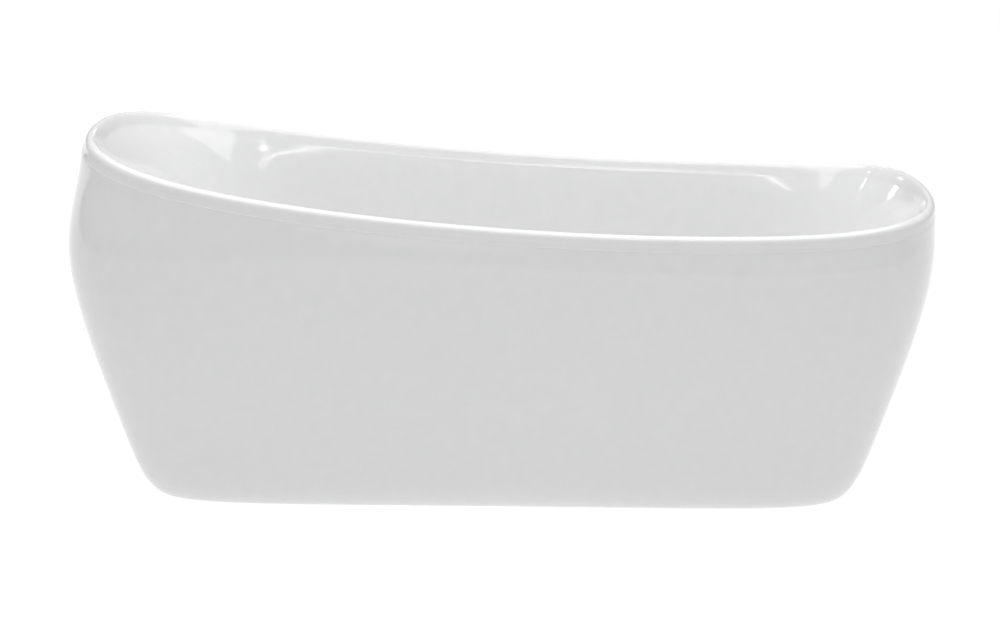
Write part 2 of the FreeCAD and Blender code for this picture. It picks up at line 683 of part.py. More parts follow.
def on_overflow(item):
    """Puts a piece made along Z square to the wall, from its inner face outwards."""
    item.Placement = FreeCAD.Placement(FreeCAD.Vector(), OVERFLOW_TURN)
    place(item, "overflow_place", "0", "overflow_height")
    item.setExpression("Placement.Rotation.Angle", bound("overflow_lean + 90"))
    return item


overflow_hole = on_overflow(cylinder("overflow_hole", "overflow_hole_radius", "4 * basin_wall"))
hole_start = cylinder("hole_start", "overflow_hole_radius", "2 * basin_wall")
hole_start.Placement = FreeCAD.Placement(
    FreeCAD.Vector(), FreeCAD.Rotation(FreeCAD.Vector(0, 1, 0), size("overflow_lean") - 90))
place(hole_start, "overflow_place", "0", "overflow_height")
basin_shell = cut("basin_shell", basin_blank, fused("overflow_drill", (overflow_hole, hole_start)))
doc.recompute()
NODES = [basin_shell, skirt_shell]

# ---------------------------------------------------------------------------------------
# Board and steel frame


def vertical(edge):
    """An upright straight edge."""
    ends = [vertex.Point for vertex in edge.Vertexes]
    return len(ends) == 2 and math.dist(ends[0][:2], ends[1][:2]) < 1e-6


def along_length(edge):
    ends = [vertex.Point for vertex in edge.Vertexes]
    return len(ends) == 2 and math.dist(ends[0][1:], ends[1][1:]) < 1e-6


def make_board():
    body = new_body("support_board")
    outline = rectangle("board_head_place", "board_foot_place", "-board_half_width", "board_half_width")
    pad(body, "XY_Plane", [outline], "board_thickness")
    round_edges(body, "board_corner", vertical)
    holes = [("drain_place", "0", "board_opening_radius")]
    holes += [(x, y, "screw_radius + screw_clearance") for x, y in board_screw_places()]
    drill(body, "XY_Plane", holes)
    place(body, z="board_bottom")
    return body


def board_screw_places():
    return [(f"board_screw_first + {number} * board_screw_spacing", f"{side} * rail_row")
            for number in range(4) for side in (-1, 1)]


def tube(label, length_start, length_end):
    """A square tube along X from start to end."""
    body = new_body(label)
    half = "rail_size / 2"
    bore = "(rail_size / 2 - rail_wall)"
    pad(body, "YZ_Plane", [rectangle("-" + half, half, "-" + half, half)],
        f"{length_end} - ({length_start})")
    round_edges(body, "rail_corner", along_length)
    sketch = new_sketch(body, "YZ_Plane")
    draw_outline(sketch, rectangle("-" + bore, bore, "-" + bore, bore))
    pocket = body.newObject("PartDesign::Pocket", label + "_bore")
    pocket.Profile = sketch
    pocket.SideType = "Symmetric"
    pocket.Type = "ThroughAll"
    doc.recompute()
    return body


def make_rail(label, side):
    body = tube(label, "rail_head_place", "rail_foot_place")
    radius = "screw_radius + screw_clearance"
    drill(body, "XY_Plane", [(f"{x} - rail_head_place", "0", radius)
                             for x, y in board_screw_places() if y.startswith(str(side))])
    drill(body, "XZ_Plane", [(f"{x} - rail_head_place", "0", radius)
                             for x in bracket_screw_places()])
    place(body, "rail_head_place", f"{side} * rail_row", "rail_middle")
    return body


def bracket_screw_places():
    return [f"{bracket} + {sign} * bracket_screw_spacing / 2"
            for bracket in ("bracket_head_place", "bracket_foot_place") for sign in (-1, 1)]


def make_cross_tube(label, x):
    body = tube(label, "0", "2 * rail_row - rail_size - 2 * weld_gap")
    body.Placement = FreeCAD.Placement(FreeCAD.Vector(), FreeCAD.Rotation(FreeCAD.Vector(0, 0, 1), 90))
    place(body, x, "-rail_row + rail_size / 2 + weld_gap", "rail_middle")
    return body


def make_end_caps():
    """Four push-in caps, one in each open rail end."""
    caps = []
    for end, direction in (("rail_head_place", -1), ("rail_foot_place", 1)):
        for side in (-1, 1):
            plate = doc.addObject("Part::Box", "cap_plate")
            bind(plate, Length="cap_thickness", Width="rail_size", Height="rail_size")
            plug = doc.addObject("Part::Box", "cap_plug")
            inner = "rail_size - 2 * rail_wall - 2 * cap_clearance"
            bind(plug, Length="cap_plug_length", Width=inner, Height=inner)
            plate_start = f"{end} + weld_gap" if direction > 0 else f"{end} - weld_gap - cap_thickness"
            plug_start = f"{end} + weld_gap - cap_plug_length" if direction > 0 else f"{end} - weld_gap"
            place(plate, plate_start, f"{side} * rail_row - rail_size / 2", "rail_middle - rail_size / 2")
            offset = "rail_size / 2 - rail_wall - cap_clearance"
            place(plug, plug_start, f"{side} * rail_row - ({offset})", f"rail_middle - ({offset})")
            caps.append(fused("end_cap", (plate, plug)))
    group = doc.addObject("Part::Compound", "rail_end_caps")
    group.Label = "rail_end_caps"
    group.Links = caps
    return group


def make_foot_bar(label, x):
    body = new_body(label)
    reach = "(foot_row + bar_overhang)"
    pad(body, "XY_Plane", [rectangle("-bar_width / 2", "bar_width / 2", "-" + reach, reach)],
        "bar_thickness")
    drill(body, "XY_Plane", [("0", f"{side} * foot_row", "stud_radius + stud_hole_clearance")
                             for side in (-1, 1)])
    round_edges(body, "rail_corner", lambda edge: vertical(edge) and len(edge.Vertexes) == 2
                and abs(edge.Vertexes[0].X) > size("bar_width / 2") - 0.01)
    place(body, x, "0", "bar_bottom - weld_gap")
    return body


def make_centre_plate():
    body = new_body("centre_foot_plate")
    far = "(centre_foot_offset + bar_overhang)"
    pad(body, "XY_Plane", [rectangle("-rail_size / 2", far, "-bar_width / 2", "bar_width / 2")],
        "bar_thickness")
    drill(body, "XY_Plane", [("centre_foot_offset", "0", "stud_radius + stud_hole_clearance")])
    round_edges(body, "rail_corner", lambda edge: vertical(edge)
                and abs(abs(edge.Vertexes[0].Y) - size("bar_width / 2")) < 0.01)
    place(body, "middle_tube_place", "0", "bar_bottom - weld_gap")
    return body


BRACKETS = tuple((number, place_name, side) for number, (place_name, side) in enumerate(
    ((name, side) for name in ("bracket_head_place", "bracket_foot_place") for side in (-1, 1)), start=1))
BRACKET_BOTTOM = "(skirt_clearance + skirt_wall + board_gap)"
RAIL_FACE = "(rail_row + rail_size / 2 + seat_gap)"


def make_bracket(number, x, side):
    """An angle from a rail's outer face down and out onto the skirt's flange."""
    body = new_body(f"skirt_bracket_{number}")
    thick = "bracket_thickness"
    top = "(rail_middle + rail_size / 2 - 2 * screw_clearance)"
    corners = [("0", BRACKET_BOTTOM), ("bracket_reach", BRACKET_BOTTOM),
               ("bracket_reach", f"{BRACKET_BOTTOM} + {thick}"), (thick, f"{BRACKET_BOTTOM} + {thick}"),
               (thick, top), ("0", top)]
    pad(body, "YZ_Plane", [corners], "bracket_width", middle=True)
    drill(body, "XZ_Plane", [(f"{sign} * bracket_screw_spacing / 2", "rail_middle",
                              "screw_radius + screw_clearance") for sign in (-1, 1)])
    bottom = size(BRACKET_BOTTOM)

    def at_bend(edge):
        return along_length(edge) and abs(edge.Vertexes[0].Y) < 0.01 and abs(edge.Vertexes[0].Z - bottom) < 0.01

    round_edges(body, "bracket_bend", at_bend)
    if side < 0:
        body.Placement = FreeCAD.Placement(FreeCAD.Vector(), FreeCAD.Rotation(FreeCAD.Vector(0, 0, 1), 180))
    place(body, x, f"{side} * {RAIL_FACE}", "0")
    return body


def make_screw(length, x, y, z, turn):
    """A pan-head screw: the underside of its head at the given point."""
    shank = cylinder("shank", "screw_radius", length, x, y, z, turn)
    back = turn.multVec(FreeCAD.Vector(0, 0, -1))
    start = [f"{formula} + ({round(part)}) * screw_head_height"
             for formula, part in zip((x, y, z), back)]
    head = cylinder("head", "screw_head_radius", "screw_head_height", *start, turn)
    return fused("screw", (shank, head))


def screw_group(label, screws):
    group = doc.addObject("Part::Compound", label)
    group.Label = label
    group.Links = screws
    return group


def make_board_screws():
    start = "bar_top - seat_gap"
    return screw_group("board_screws", [make_screw("board_screw_length", x, y, start, UPRIGHT)
                                        for x, y in board_screw_places()])


def make_bracket_screws():
    face = f"({RAIL_FACE} + bracket_thickness + seat_gap)"
    screws = []
    for side, turn in ((-1, ALONG_Y), (1, ALONG_MINUS_Y)):
        for x in bracket_screw_places():
            screws.append(make_screw("bracket_screw_length", x, f"{side} * {face}",
                                     "rail_middle", turn))
    return screw_group("bracket_screws", screws)


NODES.append(make_board())
NODES += [make_rail("frame_rail_near", -1), make_rail("frame_rail_far", 1)]
for tube_label, tube_place in (("cross_tube_head", "head_bar_place"), ("cross_tube_middle", "middle_tube_place"),
                               ("cross_tube_drain", "drain_tube_place"), ("cross_tube_foot", "foot_bar_place")):
    NODES.append(make_cross_tube(tube_label, tube_place))
NODES.append(make_end_caps())
NODES += [make_foot_bar("foot_bar_head", "head_bar_place"), make_foot_bar("foot_bar_foot", "foot_bar_place")]
NODES.append(make_centre_plate())
NODES += [make_bracket(*bracket) for bracket in BRACKETS]
NODES += [make_board_screws(), make_bracket_screws()]

# ---------------------------------------------------------------------------------------
# Screw feet: each a stud in a pad, held in the bar by two nuts

FEET = (
    (1, "head_bar_place", "-foot_row"),
    (2, "head_bar_place", "foot_row"),
    (3, "foot_bar_place", "-foot_row"),
    (4, "foot_bar_place", "foot_row"),
    (5, "middle_tube_place + centre_foot_offset", "0"),
)
STUD_BEVEL = "1"


def nut(name, bottom, height, x, y):
    prism = doc.addObject("Part::Prism", name)
    prism.Polygon = 6
    bind(prism, Circumradius="nut_across_flats / 2 / cos(30 deg)", Height=height)
    place(prism, x, y, bottom)
    return prism


def make_nuts(number, x, y):
    below = nut("main_nut", "bar_bottom - weld_gap - nut_gap - main_nut_height", "main_nut_height", x, y)
    above = nut("jam_nut", "bar_top - weld_gap + nut_gap", "jam_nut_height", x, y)
    bore = cylinder("nut_bore", "stud_radius + thread_clearance", "board_bottom", x, y)
    return cut(f"foot_{number}_nuts", fused("nut_pair", (below, above)), bore)


def make_stud(number, x, y):
    body = turned(f"foot_{number}_stud", [
        ("0", "0"), (f"stud_radius - {STUD_BEVEL}", "0"), ("stud_radius", STUD_BEVEL),
        ("stud_radius", f"stud_length - {STUD_BEVEL}"), (f"stud_radius - {STUD_BEVEL}", "stud_length"),
        ("0", "stud_length")])
    place(body, x, y, "stud_bottom")
    return body


def make_foot_pad(number, x, y):
    socket = "stud_radius + press_clearance"
    body = turned(f"foot_{number}_pad", [
        ("0", "0"), ("pad_radius - 1", "0"), ("pad_radius", "1"), ("pad_radius", "pad_thickness"),
        ("pad_hub_radius + 3", "pad_thickness + 3"), ("pad_hub_radius", "pad_hub_height - 2"),
        ("pad_hub_radius - 1", "pad_hub_height"), (socket, "pad_hub_height"),
        (socket, "stud_bottom - press_clearance"), ("0", "stud_bottom - press_clearance")])
    place(body, x, y)
    return body


for foot in FEET:
    NODES += [make_foot_pad(*foot), make_stud(*foot), make_nuts(*foot)]

# ---------------------------------------------------------------------------------------
# Waste


def at_drain(body, z="0"):
    place(body, "drain_place", "0", z)
    return body


def make_waste_flange():
    """Dished flange with its threaded tail and the strainer that holds the plug."""
    body = turned("waste_flange", [
        ("tail_bore", "tail_bottom"), ("tail_radius", "tail_bottom"), ("tail_radius", "flange_bottom"),
        ("flange_radius", "flange_bottom"), ("flange_radius", "flange_bottom + flange_height - 1.5"),
        ("flange_radius - 1.5", "flange_bottom + flange_height"),
        ("dish_radius + 0.8", "flange_bottom + flange_height"), ("dish_radius", "dish_level"),
        ("tail_bore + 1", "dish_level"), ("tail_bore", "dish_level - 1")])
    sketch = new_sketch(body, "XZ_Plane")
    hub_bore = "cartridge_shank_radius + seat_gap"
    draw_outline(sketch, rectangle(hub_bore, "hub_radius", "hub_bottom", "hub_bottom + hub_height"))
    hub = body.newObject("PartDesign::Revolution", "strainer_hub")
    hub.Profile = sketch
    hub.ReferenceAxis = (sketch, ["V_Axis"])
    hub.Angle = WHOLE_TURN
    doc.recompute()
    sketch = new_sketch(body, "XY_Plane")
    sketch.setExpression("AttachmentOffset.Base.z", bound("hub_bottom"))
    half = "strainer_arm_width / 2"
    draw_outline(sketch, rectangle("hub_radius - 1", "tail_bore + 1", "-" + half, half))
    arm = body.newObject("PartDesign::Pad", "strainer_arm")
    arm.Profile = sketch
    bind(arm, Length="hub_height")
    doc.recompute()
    pattern = body.newObject("PartDesign::PolarPattern", "strainer_arms")
    pattern.Originals = [arm]
    pattern.Axis = (sketch, ["N_Axis"])
    pattern.Angle = WHOLE_TURN
    pattern.Occurrences = 4
    body.Tip = pattern
    doc.recompute()
    return at_drain(body)


def make_waste_washers():
    upper = turned("waste_gasket_upper", rectangle(
        "tail_radius + 0.6", "gasket_radius", "0", "gasket_thickness"))
    lower = turned("waste_gasket_lower", rectangle(
        "tail_radius + 0.6", "lower_washer_radius", "0", "lower_washer_thickness"))
    return [at_drain(upper, "recess_top + seat_gap"), at_drain(lower, "washer_bottom")]


def make_waste_body():
    """Tee below the basin: tail from above, hose branch to the foot, outlet to the head."""
    outer = "body_bore + body_wall"
    socket_bore = "outlet_radius + spigot_clearance"
    socket = f"{socket_bore} + outlet_socket_wall"
    solid = [
        cylinder("tee_flange", "lower_washer_radius", "body_flange_height", "drain_place", "0",
                 "body_top - body_flange_height"),
        cylinder("tee_barrel", outer, "body_top - body_bottom - 1", "drain_place", "0", "body_bottom"),
        cylinder("hose_branch", "spigot_radius", "branch_reach", "drain_place", "0", "branch_height", ALONG_X),
        cylinder("outlet_socket", socket, "outlet_socket_reach", "drain_place", "0",
                 "outlet_height", ALONG_MINUS_X),
    ]
    chamber = "body_bottom + body_wall"
    hollow = [
        cylinder("tee_bore", "body_bore", f"body_top - ({chamber}) + 1", "drain_place", "0", chamber),
        cylinder("hose_bore", "spigot_bore", "branch_reach + 1", "drain_place", "0", "branch_height", ALONG_X),
        cylinder("outlet_bore", socket_bore, "outlet_socket_reach + 1", "drain_place", "0",
                 "outlet_height", ALONG_MINUS_X),
    ]
    return cut("waste_body", fused("tee_outside", solid), fused("tee_inside", hollow))


def along_outlet(body, reach):
    body.Placement = FreeCAD.Placement(FreeCAD.Vector(), ALONG_MINUS_X)
    place(body, f"drain_place - ({reach})", "0", "outlet_height")
    return body


def make_outlet():
    free = "outlet_insertion + union_lip + 2 * seat_gap"
    relieved = "outlet_radius - outlet_relief"
    pipe = turned("outlet_pipe", [
        ("outlet_radius - outlet_wall", "0"), (relieved, "0"), (relieved, free),
        ("outlet_radius", f"{free} + outlet_relief"), ("outlet_radius", "outlet_length - 1"),
        ("outlet_radius - 0.8", "outlet_length"), ("outlet_radius - outlet_wall", "outlet_length")])
    thread = "outlet_radius + spigot_clearance + outlet_socket_wall + seat_gap"
    nut_body = turned("outlet_union_nut", [
        (thread, "0"), ("union_radius - 1", "0"), ("union_radius", "1"), ("union_radius", "union_length - 2"),
        ("union_radius - 2", "union_length"), ("outlet_radius + seat_gap", "union_length"),
        ("outlet_radius + seat_gap", "union_length - union_lip"), (thread, "union_length - union_lip")])
    nut_reach = "outlet_socket_reach + union_lip + seat_gap - union_length"
    return [along_outlet(pipe, "outlet_socket_reach - outlet_insertion"), along_outlet(nut_body, nut_reach)]


# Plug: cap, seal and stem move together; cartridge and spring stay


def make_plug():
    lift = "cap_bottom"
    cap = turned("plug_cap", [
        ("0", lift), ("cap_radius - 1.2", lift), ("cap_radius", f"{lift} + 1.2"),
        ("cap_radius", f"{lift} + 2"), ("cap_radius - 2", f"{lift} + 3.2"),
        ("cap_radius * 0.55", f"{lift} + cap_crown - 0.35"), ("0", f"{lift} + cap_crown")])
    seal = turned("plug_seal", rectangle(
        "seal_inner_radius", "seal_outer_radius", "dish_level + seat_gap", f"{lift} - seat_gap / 2"))
    stem = turned("plug_stem", [
        ("0", "collar_place"), ("collar_radius", "collar_place"),
        ("collar_radius", "collar_place + collar_height"), ("stem_radius", "collar_place + collar_height"),
        ("stem_radius", f"{lift} - seat_gap / 2"), ("0", f"{lift} - seat_gap / 2")])
    return [at_drain(cap), at_drain(seal), at_drain(stem)]


def make_cartridge():
    bore = "collar_radius + seat_gap"
    bush = "stem_radius + stem_clearance"
    thread_length = "hub_height"
    body = turned("plug_cartridge", [
        ("0", f"cartridge_bottom - {thread_length}"),
        ("cartridge_shank_radius", f"cartridge_bottom - {thread_length}"),
        ("cartridge_shank_radius", "cartridge_bottom"), ("cartridge_radius", "cartridge_bottom"),
        ("cartridge_radius", "cartridge_top - 1"), ("cartridge_radius - 1", "cartridge_top"),
        (bush, "cartridge_top"), (bush, "cartridge_top - cartridge_bush"),
        (bore, "cartridge_top - cartridge_bush"), (bore, "cartridge_bottom + cartridge_floor"),
        ("0", "cartridge_bottom + cartridge_floor")])
    return at_drain(body)


def make_spring():
    """The spring under the collar, as it is with the plug closed."""
    wire = size("spring_wire")
    radius = size("collar_radius") - 2 * wire
    bottom = size("cartridge_bottom + cartridge_floor + seat_gap") + wire
    height = size("collar_place - seat_gap") - wire - bottom
    steps_per_turn = 16
    steps = round(size("spring_turns")) * steps_per_turn
    points = []
    for step in range(steps + 1):
        turn = 2 * math.pi * step / steps_per_turn
        points.append(FreeCAD.Vector(radius * math.cos(turn), radius * math.sin(turn), height * step / steps))
    coil = Part.BSplineCurve()
    coil.interpolate(points)
    slope = math.atan2(height / size("spring_turns"), 2 * math.pi * radius)
    profile = Part.Wire([Part.makeCircle(wire, points[0], FreeCAD.Vector(0, math.cos(slope), math.sin(slope)))])
    item = doc.addObject("Part::Feature", "plug_spring")
    item.Label = "plug_spring"
    item.Shape = Part.Wire([coil.toShape()]).makePipeShell([profile], True, True)
    item.Placement = FreeCAD.Placement(FreeCAD.Vector(DRAIN, 0, bottom), FreeCAD.Rotation())
    return item


NODES.append(make_waste_flange())
NODES += make_waste_washers()
NODES.append(make_waste_body())
NODES += make_outlet()
NODES += make_plug()
NODES += [make_cartridge(), make_spring()]

# ---------------------------------------------------------------------------------------
# Overflow, made along Z from the basin's inner face (0) outwards


def make_overflow_cover():
    face = "-overflow_cover_depth"
    body = turned("overflow_cover", [
        ("overflow_screw_radius + 0.3", face), ("overflow_cover_radius - 3", face),
        ("overflow_cover_radius", f"{face} + 3"), ("overflow_cover_radius", "-overflow_cover_gap"),
        ("overflow_cover_radius - overflow_cover_wall", "-overflow_cover_gap"),
        ("overflow_cover_radius - overflow_cover_wall", f"{face} + 3"),
        ("overflow_cover_radius - overflow_cover_wall - 1.5", f"{face} + overflow_cover_wall"),
        ("overflow_screw_radius + 0.3", f"{face} + overflow_cover_wall")])
    middle = f"({face} - overflow_cover_gap) / 2 + 0.6"
    sketch = new_sketch(body, "YZ_Plane")
    for sign in (-2, -1, 0, 1, 2):
        draw_circle(sketch, f"{sign} * 9", middle, "overflow_slot_radius * 0.6")
    pocket = body.newObject("PartDesign::Pocket", "overflow_slots")
    pocket.Profile = sketch
    pocket.Type = "ThroughAll"
    pocket.Reversed = True
    before = body.Shape.Volume
    doc.recompute()
    if body.Shape.Volume >= before:
        raise RuntimeError("overflow_cover: the slots cut nothing")
    return on_overflow(body)


def make_overflow_screw():
    head = "-overflow_cover_depth"
    body = turned("overflow_screw", [
        ("0", f"{head} - 2.4"), ("overflow_screw_head_radius - 2", f"{head} - 2.4"),
        ("overflow_screw_head_radius", f"{head} - 0.8"), ("overflow_screw_head_radius", f"{head} - 0.1"),
        ("overflow_screw_radius", f"{head} - 0.1"),
        ("overflow_screw_radius", f"{head} + overflow_screw_length"),
        ("0", f"{head} + overflow_screw_length")])
    return on_overflow(body)


WASHER_START = "(basin_wall + overflow_gasket_gap)"
BACK_FLANGE = f"({WASHER_START} + overflow_gasket_thickness + seat_gap)"


def make_overflow_gasket():
    body = turned("overflow_gasket", rectangle(
        "overflow_hole_radius + 1", "overflow_cover_radius + 1", WASHER_START,
        f"{WASHER_START} + overflow_gasket_thickness"))
    return on_overflow(body)


def make_overflow_body():
    """Chamber behind the wall, with a neck through it and a spigot down to the hose."""
    inner = "overflow_neck_bore"
    shell_end = "overflow_body_depth"
    neck = on_overflow(cylinder("overflow_neck", "overflow_neck_radius", f"{shell_end} - 1"))
    flange = cylinder("overflow_flange", "overflow_cover_radius + 1", "overflow_flange_thickness")
    boss = cylinder("overflow_boss", "overflow_boss_radius", "overflow_boss_depth")
    chamber = cylinder("overflow_chamber", inner, f"{shell_end} - 4")
    screw_bore = cylinder("overflow_screw_bore", "overflow_screw_radius + 0.1", shell_end)
    rib = doc.addObject("Part::Box", "overflow_rib")
    bind(rib, Length="strainer_arm_width", Width=f"2 * {inner} + 2", Height="overflow_boss_depth")
    lean = size("overflow_lean")
    outward = FreeCAD.Vector(math.cos(math.radians(lean)), 0, -math.sin(math.radians(lean)))

    def along(item, start, x_shift="0", y_shift="0"):
        """Moves a piece along the overflow's own axis."""
        item.Placement = FreeCAD.Placement(FreeCAD.Vector(), OVERFLOW_TURN)
        item.setExpression("Placement.Rotation.Angle", bound("overflow_lean + 90"))
        place(item, f"overflow_place + ({start}) * cos(overflow_lean * 1 deg)"
                    f" + ({x_shift}) * sin(overflow_lean * 1 deg)", y_shift,
              f"overflow_height - ({start}) * sin(overflow_lean * 1 deg)"
              f" + ({x_shift}) * cos(overflow_lean * 1 deg)")
        return item

    along(neck, "1")
    along(flange, BACK_FLANGE)
    along(boss, "overflow_boss_depth")
    along(chamber, "0")
    along(screw_bore, "0")
    along(rib, "overflow_boss_depth", "strainer_arm_width / 2", f"-({inner} + 1)")
    spigot = cylinder("overflow_spigot", "spigot_radius", "overflow_spigot_length", SPIGOT_X, "0", SPIGOT_END)
    spigot_hole = cylinder("overflow_spigot_bore", "spigot_bore", "overflow_spigot_length", SPIGOT_X, "0",
                           f"{SPIGOT_END} - 1")
    shell_part = cut("overflow_shell", fused("overflow_outside", (neck, flange, spigot)),
                     fused("overflow_inside", (chamber, spigot_hole)))
    return cut("overflow_body", fused("overflow_with_boss", (shell_part, boss, rib)), screw_bore)


SPIGOT_DEPTH = "(overflow_body_depth - 19)"
SPIGOT_X = f"overflow_place + {SPIGOT_DEPTH} * cos(overflow_lean * 1 deg)"
SPIGOT_TOP = f"overflow_height - {SPIGOT_DEPTH} * sin(overflow_lean * 1 deg)"
SPIGOT_END = f"{SPIGOT_TOP} - overflow_spigot_length"
HOSE_TOP = f"{SPIGOT_END} + clamp_length + 4"


def make_hose():
    """Straight runs joined by tangent arcs, over the spigots at both ends."""
    top_x = size(SPIGOT_X)
    points = [
        FreeCAD.Vector(top_x, 0, size(HOSE_TOP)),
        FreeCAD.Vector(top_x, 0, size(HOSE_TOP) - size("hose_straight")),
        FreeCAD.Vector(size("hose_landing_place"), 0, size("branch_height")),
        FreeCAD.Vector(DRAIN + size("hose_start_reach"), 0, size("branch_height")),
    ]
    edges = []
    start = points[0]
    for before, corner, after, radius in (
            (points[0], points[1], points[2], size("hose_upper_bend")),
            (points[1], points[2], points[3], size("hose_lower_bend"))):
        arriving = (corner - before).normalize()
        leaving = (after - corner).normalize()
        half_turn = arriving.getAngle(leaving) / 2
        reach = radius * math.tan(half_turn)
        arc_start = corner - arriving * reach
        arc_end = corner + leaving * reach
        inward = (leaving - arriving).normalize()
        arc_middle = corner + inward * (radius / math.cos(half_turn) - radius)
        edges.append(Part.LineSegment(start, arc_start).toShape())
        edges.append(Part.Arc(arc_start, arc_middle, arc_end).toShape())
        start = arc_end
    edges.append(Part.LineSegment(start, points[-1]).toShape())
    path = Part.Wire(edges)
    walls = []
    for radius in (size("hose_radius"), size("hose_radius - hose_wall")):
        profile = Part.Wire([Part.makeCircle(radius, points[0], FreeCAD.Vector(0, 0, 1))])
        walls.append(path.makePipeShell([profile], True, False))
    item = doc.addObject("Part::Feature", "overflow_hose")
    item.Label = "overflow_hose"
    item.Shape = walls[0].cut(walls[1])
    expected = math.pi * (size("hose_radius") ** 2 - size("hose_radius - hose_wall") ** 2) * path.Length
    print("hose length", round(path.Length), "volume ratio", round(item.Shape.Volume / expected, 4))
    return item


def make_hose_clamps():
    """A clamp nut on each end of the hose."""
    corners = [("hose_radius + seat_gap", "0"), ("clamp_radius - 1", "0"), ("clamp_radius", "1"),
               ("clamp_radius", "clamp_length - 1"), ("clamp_radius - 1", "clamp_length"),
               ("hose_radius + seat_gap", "clamp_length")]
    upper = turned("hose_clamp_upper", corners)
    place(upper, SPIGOT_X, "0", f"{SPIGOT_END} + 2")
    lower = turned("hose_clamp_lower", corners)
    lower.Placement = FreeCAD.Placement(FreeCAD.Vector(), ALONG_X)
    place(lower, "drain_place + hose_start_reach + 3", "0", "branch_height")
    return [upper, lower]


NODES += [make_overflow_cover(), make_overflow_screw(), make_overflow_gasket(), make_overflow_body()]
NODES.append(make_hose())
NODES += make_hose_clamps()

# ---------------------------------------------------------------------------------------
# Check and write

doc.recompute()
for item in doc.Objects:
    if "Invalid" in item.State or "Error" in item.State:
        raise RuntimeError(item.Label + " failed: " + str(item.State))
os.makedirs("parts", exist_ok=True)
for node in NODES:
    shape = node.Shape
    if shape.isNull() or not shape.isValid() or not shape.Solids:
        raise RuntimeError(node.Label + " has no valid solid")
    shape.exportStep(f"parts/{node.Label}.step")
    print(node.Label, len(shape.Solids), "solid(s)", round(shape.Volume / 1000, 1), "cm3")
print(len(NODES), "nodes")
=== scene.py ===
import json
import math

import bpy
from mathutils import Matrix, Vector


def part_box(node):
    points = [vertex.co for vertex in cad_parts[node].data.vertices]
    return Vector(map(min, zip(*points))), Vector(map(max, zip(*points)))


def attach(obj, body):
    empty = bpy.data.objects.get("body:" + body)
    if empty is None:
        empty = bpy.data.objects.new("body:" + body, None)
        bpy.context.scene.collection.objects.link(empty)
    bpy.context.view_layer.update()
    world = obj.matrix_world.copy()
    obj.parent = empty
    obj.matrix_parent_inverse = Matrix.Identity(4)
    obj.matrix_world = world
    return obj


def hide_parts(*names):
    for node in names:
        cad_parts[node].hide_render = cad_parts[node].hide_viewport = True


# A freestanding bath with one raised end: a glossy white basin bonded into a tapering skirt,
# on a galvanised frame with screw feet, with its push-button waste and its overflow.
# Metres, +Z up.  The raised (head) end is towards -X, the drain (foot) end towards +X.

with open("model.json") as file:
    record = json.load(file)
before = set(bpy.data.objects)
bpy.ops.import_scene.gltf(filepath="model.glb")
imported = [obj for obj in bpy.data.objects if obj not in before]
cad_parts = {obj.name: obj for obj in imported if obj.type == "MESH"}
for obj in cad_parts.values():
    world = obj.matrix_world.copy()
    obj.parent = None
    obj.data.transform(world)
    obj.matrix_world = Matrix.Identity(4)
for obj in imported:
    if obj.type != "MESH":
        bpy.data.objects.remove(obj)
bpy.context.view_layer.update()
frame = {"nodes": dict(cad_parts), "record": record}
scene = bpy.context.scene
MM = 0.001

# ---------------------------------------------------------------------------------------
# Camera

CAMERA_TARGET = Vector((-0.002, 0.0, 0.327))
CAMERA_DISTANCE = 3.87
CAMERA_YAW = math.radians(-1.17)
CAMERA_PITCH = math.radians(15.43)
CAMERA_ROLL = math.radians(0.19)
CAMERA_LENS = 68.4


def make_camera():
    data = bpy.data.cameras.new("camera")
    data.lens = CAMERA_LENS
    data.sensor_width = 36
    data.clip_end = 200
    camera = bpy.data.objects.new("camera", data)
    scene.collection.objects.link(camera)
    ahead = Vector((math.sin(CAMERA_YAW) * math.cos(CAMERA_PITCH),
                    math.cos(CAMERA_YAW) * math.cos(CAMERA_PITCH),
                    -math.sin(CAMERA_PITCH)))
    camera.location = CAMERA_TARGET - ahead * CAMERA_DISTANCE
    level = Matrix.Rotation(-CAMERA_YAW, 4, "Z") @ Matrix.Rotation(math.pi / 2 - CAMERA_PITCH, 4, "X")
    camera.matrix_world = (Matrix.Translation(camera.location) @ level
                           @ Matrix.Rotation(CAMERA_ROLL, 4, "Z"))
    scene.camera = camera


make_camera()

# ---------------------------------------------------------------------------------------
# Finishes


class Wire:
    """One output of a finish's nodes; adding or multiplying wires adds Math nodes."""

    def __init__(self, finish, socket):
        self.finish = finish
        self.socket = socket

    def math(self, operation, first, second):
        return self.finish.node("ShaderNodeMath", {"operation": operation}, {0: first, 1: second})

    def __add__(self, other):
        return self.math("ADD", self, other)

    def __mul__(self, other):
        return self.math("MULTIPLY", self, other)


